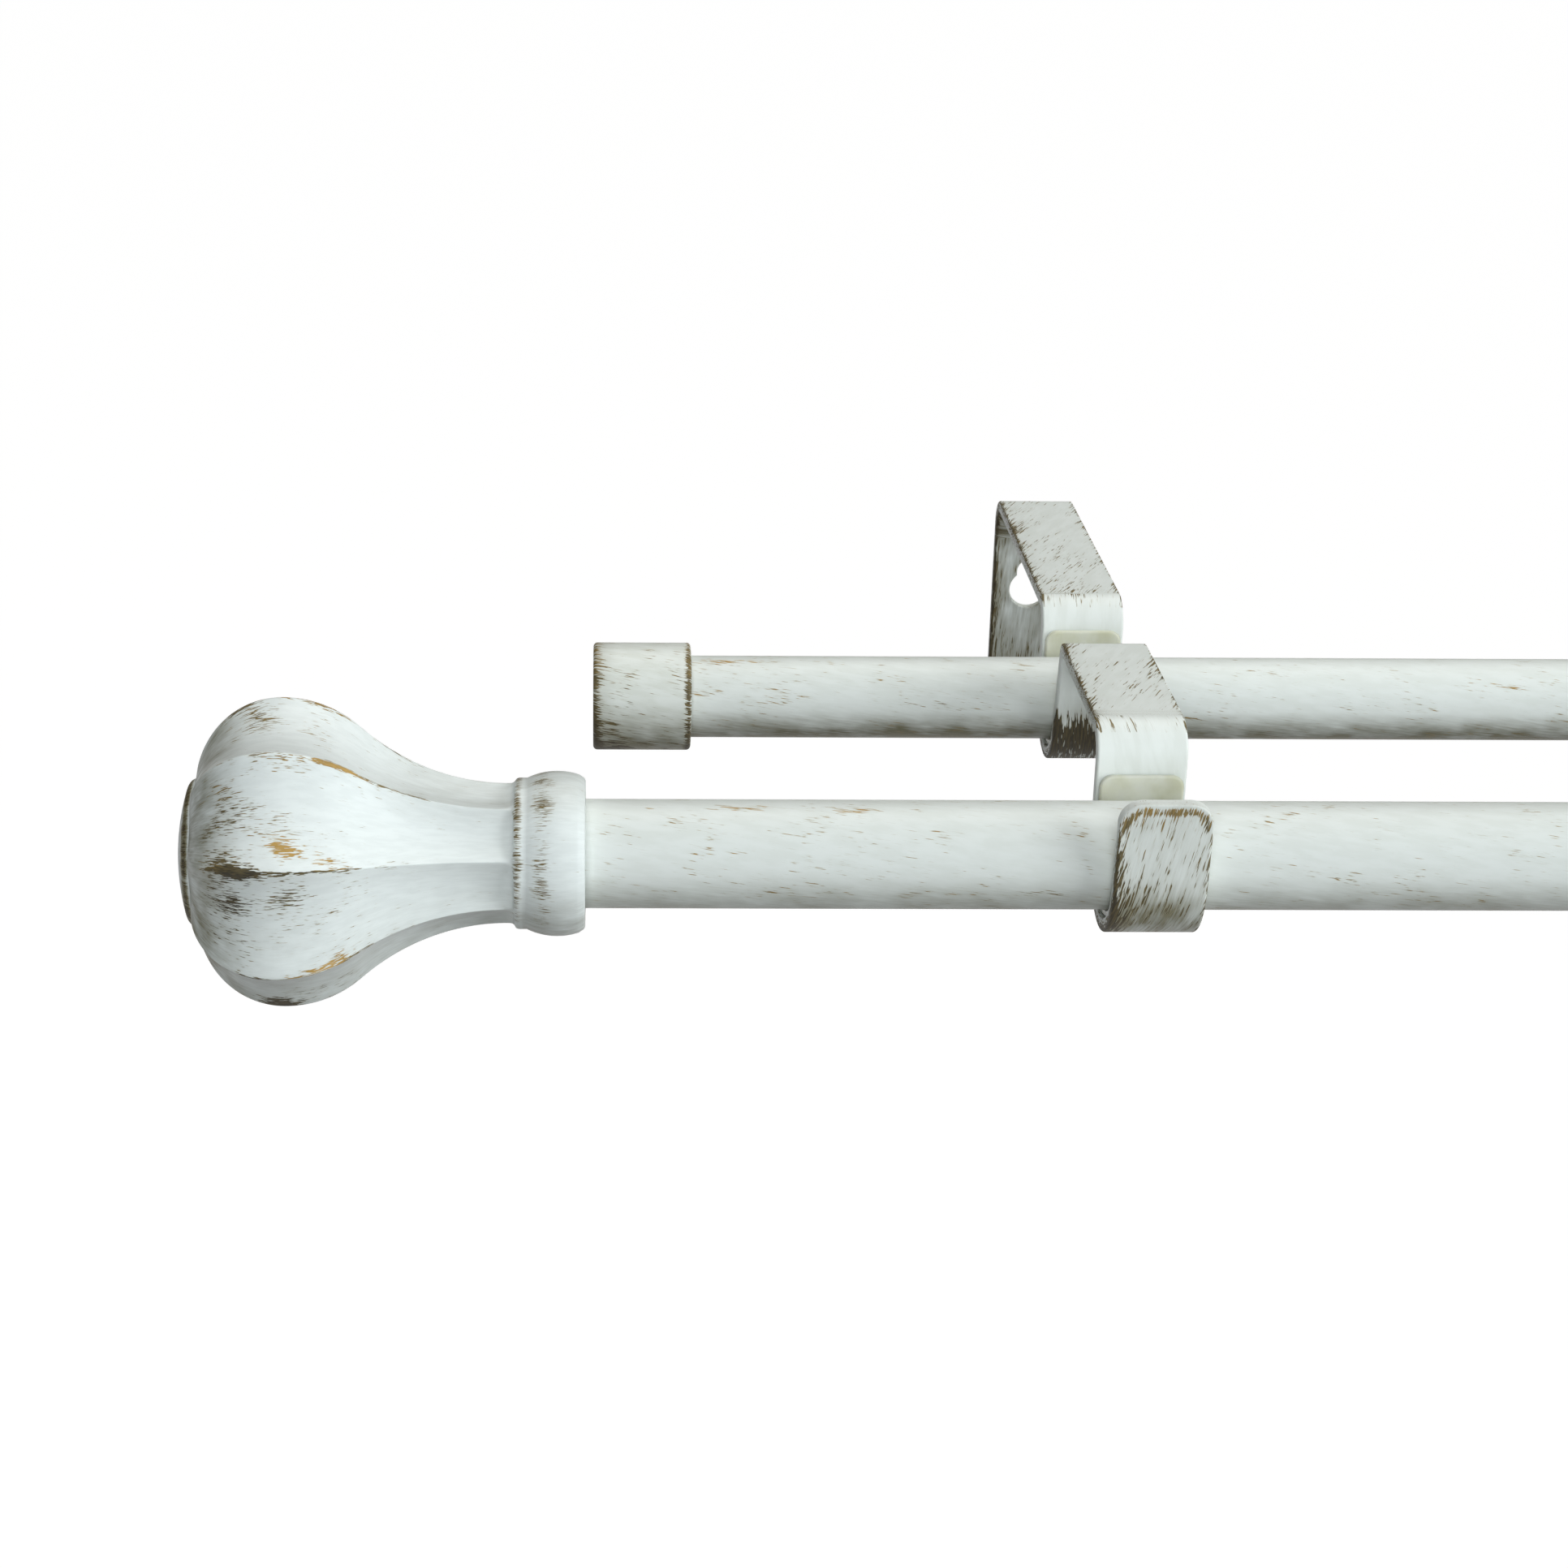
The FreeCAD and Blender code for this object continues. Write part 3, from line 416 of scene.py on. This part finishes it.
def turned(name, outline, rod, side, twist, wear):
    """Turn an outline of (distance outward, radius) points about a tube's axis.

    twist is how far a brush stroke climbs round the piece per mm of its length, in radians.
    """
    outline = np.asarray(outline, float)
    angles = np.linspace(0, 2 * math.pi, TURNED_POINTS, endpoint=False)
    s, a = np.repeat(outline[:, 0], TURNED_POINTS), np.tile(angles, len(outline))
    r = np.repeat(outline[:, 1], TURNED_POINTS)
    return skin(name, s, a, r, len(outline), TURNED_POINTS, rod, side, twist, wear)


def skin(name, s, a, r, rings, segments, rod, side, twist, wear):
    """Closed mesh over rings of points; a is the angle from the room's side upward.

    Each band joins a ring to the next one, and the last to the first. A ring that lies within LID of the
    axis is closed with a face, and points that two rings share become one.
    """
    points = np.stack([side * s, rod["y"] - r * np.cos(a), rod["z"] + r * np.sin(a)], 1) * MM
    here = np.arange(rings)[:, None] * segments
    there = np.roll(here, -1, axis=0)
    column = np.arange(segments)[None, :]
    after = (column + 1) % segments
    bands = np.stack([here + column, here + after, there + after, there + column], -1)
    on_axis = r.reshape(rings, -1).max(1) < LID
    quads = bands[~(on_axis & np.roll(on_axis, -1))].reshape(-1, 4)
    lids = [list(range(k * segments, (k + 1) * segments)) for k in np.flatnonzero(on_axis)]
    mesh = bpy.data.meshes.new(name)
    mesh.from_pydata(points.tolist(), [], quads.tolist() + lids)
    outline_s, outline_r = s.reshape(rings, -1).mean(1), r.reshape(rings, -1).mean(1)
    along = np.concatenate([[0], np.cumsum(np.hypot(np.diff(outline_s), np.diff(outline_r)))])
    swept, girth = a - twist * s, r.max()
    give(mesh, "brush", "FLOAT_VECTOR",
         np.stack([np.repeat(along, segments), girth * np.cos(swept), girth * np.sin(swept)], 1))
    for kind, values in zip(WEAR, wear(s, a, r)):
        give(mesh, kind, "FLOAT", values)
    shape = bmesh.new()
    shape.from_mesh(mesh)
    bmesh.ops.remove_doubles(shape, verts=shape.verts, dist=1e-7)
    bmesh.ops.recalc_face_normals(shape, faces=shape.faces)
    for face in shape.faces:
        face.smooth = True
    shape.to_mesh(mesh)
    shape.free()
    return mesh


def tube_outline(length, radius):
    """Section of a tube with deburred ends."""
    half = length / 2
    outer = [(-half, radius - BURR), (-half + BURR, radius)]
    outer += [(x, radius) for x in np.linspace(-half, half, round(length / TUBE_STEP))[1:-1]]
    outer += [(half - BURR, radius), (half, radius - BURR)]
    return outer + [(half, radius - TUBE_WALL), (-half, radius - TUBE_WALL)]


def spots(s, a, r, places):
    """Rubbed and golden amounts of the places in a list.

    Each place has its distance along the piece in mm, its angle from the room's side upward in degrees,
    its half length and half width in mm, how far it is rubbed, and how much more golden it is.
    """
    worn, gold = np.zeros_like(s), np.zeros_like(s)
    for at, angle, long, wide, amount, golden in places:
        aside = (a - math.radians(angle) + math.pi) % (2 * math.pi) - math.pi
        spot = near(s, at, long) * near(aside * r, 0, wide)
        worn += amount * spot
        gold += golden * np.clip(2 * spot, 0, 1)
    return worn, gold


TUBE_SPOTS = [
    (-452.0, 79.0, 10.0, 1.3, 0.6, 0.3), (-433.0, 74.0, 6.0, 1.2, 0.48, 0.3),
    (-470.0, 80.0, 7.0, 1.2, 0.36, 0.2), (-456.0, 24.0, 9.0, 1.6, 0.24, 0.1),
    (-441.0, 14.0, 9.0, 1.6, 0.24, 0.1), (-412.0, 6.0, 9.0, 1.6, 0.24, -0.1),
    (-300.0, 40.0, 14.0, 2.0, 0.26, 0.2), (-455.0, -28.0, 12.0, 1.8, 0.2, 0.0),
    (-400.0, -22.0, 8.0, 1.4, 0.25, -0.1),
]


def tube_wear(s, a, r):
    """Rubbed spots; olive glaze below as painted shade, more on the back tube, also a little at its ends."""
    worn, gold = spots(s, a, r, TUBE_SPOTS)
    # Painted shade: olive glaze darkens the underside of each tube, the back tube's more.
    under = np.clip(-np.sin(a), 0, 1)
    # The back tube is also drawn a little darker beyond the brackets, towards its ends.
    darker_ends = 0.08 * np.clip((np.abs(s) - 380) / 20, 0, 1)
    glaze_and_shade = np.where(r > BACK_ROD["r"], 0.62 * under, 1.3 * under + darker_ends)
    # Painted light and shade: the rubbed ground is more golden on top and darker below.
    return worn, gold + 0.45 + 0.1 * np.sin(a), glaze_and_shade


STROKE_SLANT = math.tan(math.radians(9))
for rod_name, rod, length, white, dull in (("front", FRONT_ROD, 1000.0, "#E3E7E4", "#DEE2DE"),
                                           ("back", BACK_ROD, 953.6, "#E8ECE9", "#E3E7E3")):
    paint = antique_white("antique_white_on_%s_tube" % rod_name, (4.0, 0.40), 0.765, rod["r"], white, dull)
    outline = tube_outline(length, rod["r"])
    mesh = turned(rod_name + "_tube", outline, rod, 1, -STROKE_SLANT / rod["r"], tube_wear)
    piece(rod_name + "_tube", mesh, paint, "painted_steel", rod_name + "_rod")

# Finials: cast in a two-part mould with eight shallow flutes round a bulb and neck, a domed button at the
# end and a barrel collar that slips over the tube. Brushed antique white, then rubbed until the ridges
# show brown.
COLLAR_FACE = 480.0
SOCKET, SOCKET_DEPTH = 9.6, 20.0
COLLAR_EDGE, FACE_EDGE = 0.85, 12.55
COLLAR_CROWN, COLLAR_CENTRE, COLLAR_CURVE = 4.9, 2.35, 12.0
RING, RING_START, RING_LAND, RING_END = 13.15, 10.6, 11.0, 11.4
STEP_CURVE, STEP_TURN = 0.9, math.radians(60)
NECK, NECK_CURVE = 12.25, 39.5
BULB, BULB_AT, BULB_CURVE, BULB_REACH, BULB_END = 27.0, 52.3, 15.0, 14.7, 67.0
LEDGE, LEDGE_FOOT = 14.2, 13.0
BUTTON, BUTTON_CURVE, BUTTON_HEIGHT = 11.4, 1.5, 3.2
FINIAL_END = 70.2
TIP, TIP_TURN = 0.2, 0.3
FLUTES = 8
TURN = math.radians(6.8)
FLAT_SHARE = math.cos(math.pi / FLUTES) / 0.993
FLUTE_ROOT = 1.6
HOLLOW = 0.19
RIDGE_SOFTNESS = 0.22
POINTS_PER_FLUTE = 24
NO_FLUTE = 99.0


def swell(neck_x, neck, neck_curve, bulb_x, bulb):
    """Hollow neck and round shoulder of the bulb, as (x, radius) points."""
    run, drop = bulb_x - neck_x, neck + neck_curve - bulb
    radius = (run ** 2 + drop ** 2 - neck_curve ** 2) / (2 * (neck_curve - drop))
    tilt = math.degrees(math.atan2(drop + radius, run))
    return (arc((neck_x, neck + neck_curve), neck_curve, -90, -tilt, 40)
            + arc((bulb_x, bulb - radius), radius, 180 - tilt, 90, 24)[1:])


# The outline over the ridges, from the collar's face out to the button's tip and back through the socket
neck_x = RING_END + 2 * STEP_CURVE * math.sin(STEP_TURN)
end_tilt = math.degrees(math.acos(BULB_REACH / BULB_CURVE))
dome = (BUTTON_HEIGHT ** 2 + BUTTON ** 2 - BUTTON_CURVE ** 2) / (2 * (BUTTON_HEIGHT - BUTTON_CURVE))
dome_tilt = math.degrees(math.atan2(BUTTON, BULB_END - FINIAL_END + dome))
ridge = [(0.0, SOCKET), (0.0, FACE_EDGE)] + arc((COLLAR_EDGE, FACE_EDGE), COLLAR_EDGE, 180, 112, 7)[1:]
ridge += arc((COLLAR_CROWN, COLLAR_CENTRE), COLLAR_CURVE, 108.5, 64.2, 24)
ridge += [(RING_START, RING), (RING_LAND, RING)] + arc((RING_END, NECK), STEP_CURVE, 90, 30, 8)
ridge += arc((neck_x, RING), STEP_CURVE, 210, 270, 8)[1:]
ridge += swell(neck_x, NECK, NECK_CURVE, BULB_AT, BULB)[1:]
ridge += arc((BULB_AT, BULB - BULB_CURVE), BULB_CURVE, 90, end_tilt, 34)[1:]
bulb_end_ridge = ridge[-1][1]
ridge += [(BULB_END, LEDGE), (BULB_END, LEDGE_FOOT)]
ridge += arc((BULB_END, BUTTON), BUTTON_CURVE, 90, dome_tilt, 9)
ridge += arc((FINIAL_END - dome, 0), dome, dome_tilt, TIP_TURN, 12)[1:]
ridge += [(SOCKET_DEPTH, TIP), (SOCKET_DEPTH, SOCKET)]
ridge = np.array(ridge)

# The floor of a flute between two ridges, before it is hollowed
root_x = RING_END + STEP_CURVE * math.sin(STEP_TURN)
neck_flat, bulb_flat, end_flat = NECK * FLAT_SHARE, BULB * FLAT_SHARE, bulb_end_ridge * FLAT_SHARE
end_curve = ((BULB_END - BULB_AT) ** 2 + (bulb_flat - end_flat) ** 2) / (2 * (bulb_flat - end_flat))
flute_floor = arc((root_x + FLUTE_ROOT, neck_flat + FLUTE_ROOT), FLUTE_ROOT, 180, 270, 12)
flute_floor += swell(root_x + FLUTE_ROOT, neck_flat, NECK_CURVE, BULB_AT, bulb_flat)[1:]
flute_floor += arc((BULB_AT, bulb_flat - end_curve), end_curve, 90,
                   math.degrees(math.acos(BULB_REACH / end_curve)), 30)[1:]
flute_floor = np.array(flute_floor)
flat_of = np.interp(ridge[:, 0], flute_floor[:, 0], flute_floor[:, 1], left=NO_FLUTE, right=NO_FLUTE)
flat_of = np.where((ridge[:, 1] <= SOCKET) | (ridge[:, 0] < root_x), NO_FLUTE, flat_of)

# Radius round the finial: the lower of ridge and hollowed flute, blended softly where they meet
spread = math.pi / FLUTES * np.sin(QUARTER * np.linspace(-1, 1, POINTS_PER_FLUTE, endpoint=False))
around = np.concatenate([k * 2 * math.pi / FLUTES + spread for k in range(FLUTES)])
within = np.tile(spread, FLUTES)
half_flute = math.tan(math.pi / FLUTES)
hollow = HOLLOW * half_flute * np.outer(flat_of, 1 - (np.tan(within) / half_flute) ** 2)
flute_r = (flat_of[:, None] - hollow) / np.cos(within)[None, :]
ridge_r = np.repeat(ridge[:, 1:], len(within), axis=1)
blend = np.clip(0.5 + 0.5 * (flute_r - ridge_r) / RIDGE_SOFTNESS, 0, 1)
finial_r = flute_r * (1 - blend) + ridge_r * blend - RIDGE_SOFTNESS * blend * (1 - blend)
finial_s = np.repeat(ridge[:, 0], len(around)) + COLLAR_FACE
finial_a = np.tile(around - TURN, len(ridge))

# Rubbed places, as in the list of the tubes, with distances from the collar's face
FINIAL_SPOTS = [
    (60.5, 18.0, 5.0, 3.6, 0.78, 0.0), (56.5, 15.0, 5.0, 2.6, 0.68, -0.15),
    (46.0, 15.4, 12.0, 0.6, 0.62, -0.2), (47.5, 22.5, 6.5, 2.6, 0.62, 0.5),
    (50.5, 26.0, 4.0, 2.2, 0.5, 0.5), (42.0, 18.5, 5.5, 1.6, 0.55, 0.4),
    (58.5, 5.0, 6.0, 6.5, 0.5, -0.25), (51.5, 6.0, 8.0, 5.0, 0.36, -0.1),
    (46.0, 0.0, 12.0, 11.0, 0.2, 0.0), (42.5, 60.3, 6.5, 0.8, 0.8, 0.5),
    (50.0, 57.3, 5.5, 2.2, 0.6, 0.2), (36.0, 60.7, 7.0, 0.7, 0.65, 0.1),
    (28.5, 61.0, 6.0, 0.7, 0.5, 0.0), (46.5, -28.3, 7.0, 1.2, 0.72, 0.4),
    (42.0, -26.8, 5.0, 1.8, 0.5, 0.4), (55.5, -30.0, 6.0, 0.9, 0.6, -0.2),
    (38.0, -29.0, 5.0, 0.8, 0.45, 0.0), (53.0, -72.0, 6.0, 3.0, 0.75, -0.2),
    (46.0, -68.0, 10.0, 4.0, 0.42, -0.15), (60.5, 33.0, 6.0, 7.0, 0.46, -0.15),
    (59.0, 50.0, 7.0, 7.0, 0.38, 0.0), (60.5, -10.0, 6.5, 9.0, 0.42, -0.25),
    (59.0, -45.0, 6.0, 7.0, 0.42, -0.2), (53.0, 31.0, 7.0, 6.0, 0.34, 0.1),
    (57.0, 95.0, 7.0, 8.0, 0.38, 0.05), (47.0, 105.5, 11.0, 1.4, 0.6, 0.3),
    (33.0, 106.0, 6.0, 1.0, 0.55, 0.0), (45.0, 88.0, 8.0, 6.0, 0.26, 0.2),
    (60.0, 107.0, 4.5, 2.6, 0.75, -0.1), (45.0, 150.5, 10.0, 0.8, 0.8, 0.2),
    (60.0, 152.0, 4.5, 3.2, 0.9, -0.1), (49.0, 195.5, 9.0, 0.9, 0.75, 0.0),
    (59.0, 197.0, 4.5, 2.8, 0.8, -0.1), (46.0, 240.5, 10.0, 0.9, 0.75, -0.1),
    (58.0, 242.0, 4.5, 3.0, 0.85, -0.15), (60.0, 130.0, 6.0, 8.0, 0.5, -0.1),
    (60.0, 220.0, 6.0, 8.0, 0.5, -0.2), (59.0, 175.0, 6.0, 7.0, 0.45, -0.1),
]


def finial_wear(s, a, r):
    """Rubbed ridges, step ring, collar dashes and button rim.

    Olive glaze, as painted shade, darkens the end of the bulb, the button and the underside; on the
    button's rim it sits over real brown rubbing. A thin layer of it darkens the top of collar and neck.
    The rubbed ground is painted more golden on top, as painted light.
    """
    s = s - COLLAR_FACE
    bulb = r > 13.2
    up = np.sin(a + 0.5)
    to_ridge = np.abs((a + TURN) % (2 * math.pi / FLUTES) - math.pi / FLUTES) * r
    on_bulb = np.clip((s - 22) / 12, 0, 1) * np.clip((66 - s) / 3, 0, 1)
    worn, gold = spots(s, a, r, FINIAL_SPOTS)
    worn = worn * bulb + 0.35 * np.exp(-to_ridge / 0.4) * on_bulb - 0.15 + 0.12 * on_bulb
    worn += (0.5 + 0.42 * up) * near(s, 11.6, 1.5) * (r > 12.3)
    worn += (0.36 + 0.24 * up) * near(s, 7.4, 3.4) * bulb + 0.4 * near(s, 7.2, 2.8) * near(a, 0.05, 0.3)
    button_rim = near(s, 67.9, 1.0) * ~bulb * np.clip((r - 10.8) / 0.8, 0, 1)
    # Painted light: the rubbed ground is more golden on top.
    gold = np.clip(gold * bulb + 0.28 + 0.1 * up - 0.3 * button_rim, 0, 1)
    # Painted shade: glaze on the bulb's end and the button, which face away from the lamps, on the button's
    # rim and below.
    glaze_and_shade = 0.62 * np.clip((s - 57) / 7, 0, 1) * bulb + 1.5 * button_rim + 0.3 * (s > 67.5)
    glaze_and_shade += (0.3 + 0.28 * (s < RING_LAND)) * np.clip(-np.sin(a), 0, 1)
    glaze_and_shade += 0.16 * np.clip((np.sin(a) - 0.68) / 0.25, 0, 1) * np.clip((36 - s) / 8, 0, 1)
    return worn + 0.95 * button_rim, gold, glaze_and_shade


for hand, side in HANDS:
    paint = antique_white("antique_white_on_casting_" + hand, (2.8, 0.36), 0.79, 6 + side,
                          "#E6EBEA", "#E0E5E4")
    mesh = skin("finial_" + hand, finial_s, finial_a, finial_r.ravel(), len(ridge), len(around),
                FRONT_ROD, side, 0.0, finial_wear)
    piece("finial_casting_" + hand, mesh, paint, "painted_resin", "finial_" + hand)

# Caps: short steel cups turned with rounded rims, pushed over the back tube's ends and painted with it.
# The rims are rubbed brown all round, the outer one most.
CAP_BASE = 460.0
CAP, CAP_LENGTH, CAP_RIM = 10.5, 19.0, 0.8
CAP_BORE, CAP_DEPTH = 8.1, 16.8
cap_outline = [(0.0, CAP_BORE), (0.0, CAP - CAP_RIM)]
cap_outline += arc((CAP_RIM, CAP - CAP_RIM), CAP_RIM, 180, 90, 8)[1:]
cap_outline += [(x, CAP) for x in np.linspace(CAP_RIM, CAP_LENGTH - CAP_RIM, 20)[1:-1]]
cap_outline += arc((CAP_LENGTH - CAP_RIM, CAP - CAP_RIM), CAP_RIM, 90, 0, 8)
cap_outline += [(CAP_LENGTH, r) for r in (8.6, 4.0, TIP)] + [(CAP_DEPTH, TIP), (CAP_DEPTH, CAP_BORE)]
cap_outline = [(CAP_BASE + x, r) for x, r in cap_outline]


def cap_wear(s, a, r):
    """Rubbed rims; olive glaze below as painted shade, thinly on the end and inside, more towards the outer
    rim.
    """
    s = s - CAP_BASE
    under = np.clip(0.25 - np.sin(a), 0, 1)
    edge = near(s, CAP_LENGTH, 2.6) * np.clip((r - 8.6) / 0.8, 0, 1)
    worn = 0.75 * near(s, 0.5, 0.9) + 0.65 * edge + 0.22 - 0.12 * np.sin(a) + 0.4 * near(s, 16.0, 6) * under
    # Painted shade: glaze on the underside; a thin layer on the end and inside, more towards the outer rim.
    glaze_and_shade = np.where(r > 10, under, 0.2) + 0.3 * near(s, CAP_LENGTH, 5) * (r > 10)
    # Painted light and shade: the rubbed ground is more golden on top and darker below.
    return worn, 0.2 + 0.25 * np.sin(a), glaze_and_shade


for hand, side in HANDS:
    paint = antique_white("antique_white_on_cap_" + hand, (4.0, 0.38), 0.79, 9 + side, "#E1E4DF", "#D9DCD5")
    mesh = turned("cap_" + hand, cap_outline, BACK_ROD, side, -side * STROKE_SLANT / BACK_ROD["r"], cap_wear)
    piece("end_cap_" + hand, mesh, paint, "painted_steel", "rod_cap_" + hand)

# Grub screws: bare steel, quenched dark, in the underside of each collar. The solid's own shape is kept.
# Quenching leaves a thin oxide that looks dull grey and clouded; it is drawn coarser than it is.
OXIDE = 0.3
dark_steel = bpy.data.materials.new("quenched_steel")
dark_steel.use_nodes = True
tree = dark_steel.node_tree
shader = tree.nodes["Principled BSDF"]
shader.inputs["Metallic"].default_value = 1.0
place = node(tree, "TexCoord", {}, {}).outputs["Object"]
oxide = node(tree, "TexNoise", {}, {"Vector": place, "Scale": 1 / (OXIDE * MM), "Detail": 3.0})
shade = node(tree, "ValToRGB", {}, {"Fac": oxide.outputs["Fac"]})
for stop, colour in zip(shade.color_ramp.elements, ("#3A3A3C", "#6A6A6C")):
    stop.color = linear(colour)
tree.links.new(shade.outputs[0], shader.inputs["Base Color"])
rough = node(tree, "MapRange", {}, {"Value": oxide.outputs["Fac"], "To Min": 0.3, "To Max": 0.5})
tree.links.new(rough.outputs[0], shader.inputs["Roughness"])
for hand, _ in HANDS:
    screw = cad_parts["finial_screw_" + hand]
    screw.data.materials.clear()
    screw.data.materials.append(dark_steel)

# Studio: a pale floor far below the pole, which the camera and glossy surfaces see as white, and six
# soft lamps. The strongest stand in front, to the right and behind; the one on the left is faint.
FLOOR, REACH = -1.2, 30.0
floor_mesh = bpy.data.meshes.new("floor")
corners = [(-REACH, -REACH, FLOOR), (REACH, -REACH, FLOOR), (REACH, REACH, FLOOR), (-REACH, REACH, FLOOR)]
floor_mesh.from_pydata(corners, [], [(0, 1, 2, 3)])
floor = bpy.data.objects.new("floor", floor_mesh)
bpy.context.scene.collection.objects.link(floor)
pale = bpy.data.materials.new("pale_floor")
pale.use_nodes = True
tree = pale.node_tree
shader = tree.nodes["Principled BSDF"]
shader.inputs["Base Color"].default_value = linear("#7C7A72")
shader.inputs["Roughness"].default_value = 0.9
shader.inputs["Emission Color"].default_value = linear("#FFFFFF")
path = node(tree, "LightPath", {}, {})
seen = 0.0
for ray in ("Is Camera Ray", "Is Glossy Ray", "Is Transmission Ray"):
    seen = node(tree, "Math", {"operation": "MAXIMUM"}, {0: seen, 1: path.outputs[ray]}).outputs[0]
shine = node(tree, "Math", {"operation": "MULTIPLY"}, {0: seen, 1: 0.985})
tree.links.new(shine.outputs[0], shader.inputs["Emission Strength"])
floor_mesh.materials.append(pale)

world = bpy.data.worlds.new("studio")
bpy.context.scene.world = world
world.use_nodes = True
tree = world.node_tree
background = tree.nodes["Background"]
background.inputs["Color"].default_value = linear("#FFFFFF")
path = node(tree, "LightPath", {}, {})
strength = node(tree, "MapRange", {}, {"Value": path.outputs["Is Camera Ray"],
                                       "To Min": 0.05, "To Max": 1.0})
tree.links.new(strength.outputs[0], background.inputs["Strength"])

LAMP_SPREAD = math.radians(80)
COOL, WARM = "#F8FEFF", "#FFFEF8"


def softbox(name, place, aim, size, watts, colour):
    """Square area lamp turned towards a point."""
    lamp = bpy.data.lights.new(name, "AREA")
    lamp.shape = "SQUARE"
    lamp.size = size
    lamp.energy = watts
    lamp.color = linear(colour)[:3]
    lamp.spread = LAMP_SPREAD
    holder = bpy.data.objects.new(name, lamp)
    bpy.context.scene.collection.objects.link(holder)
    holder.location = place
    holder.rotation_euler = (Vector(aim) - Vector(place)).to_track_quat("-Z", "Y").to_euler()


softbox("top_box", (-0.40, -1.48, 1.51), (-0.40, -0.14, 0.02), 1.4, 1.1, COOL)
softbox("rear_box", (-0.30, 0.65, 1.78), (-0.40, -0.10, 0.02), 1.0, 3.9, WARM)
softbox("front_box", (-0.65, -2.25, 0.58), (-0.42, -0.14, 0.02), 1.2, 5.0, COOL)
softbox("right_box", (1.30, -1.20, 0.90), (-0.45, -0.15, 0.02), 1.0, 4.8, COOL)
softbox("left_box", (-2.25, -0.30, 0.30), (-0.50, -0.15, 0.02), 0.9, 0.5, COOL)
softbox("side_box", (1.73, -0.60, -0.10), (-0.45, -0.15, 0.02), 0.9, 3.7, COOL)

# Camera: the photograph's view of the left end, from in front and a little above. Place, lens, shift and
# turns come from a perspective fit of tubes, strip, cup and keyhole.
camera = bpy.data.cameras.new("view")
camera.sensor_width = 36.0
camera.lens = 67.45
camera.shift_x, camera.shift_y = 0.083, 0.0053
camera.clip_end = 100.0
holder = bpy.data.objects.new("view", camera)
bpy.context.scene.collection.objects.link(holder)
yaw, pitch, roll = math.radians(1.02), math.radians(21.79), 0.010
ahead = Vector((math.sin(yaw) * math.cos(pitch), math.cos(yaw) * math.cos(pitch), -math.sin(pitch)))
level = Vector((math.cos(yaw), -math.sin(yaw), 0))
upright = level.cross(ahead)
right = math.cos(roll) * level + math.sin(roll) * upright
above = math.cos(roll) * upright - math.sin(roll) * level
stand = Matrix((right, above, -ahead)).transposed().to_4x4()
stand.translation = Vector((-476.6, -629.0, 221.4)) * MM
holder.matrix_world = stand
bpy.context.scene.camera = holder
bpy.context.scene.view_settings.view_transform = "Standard"
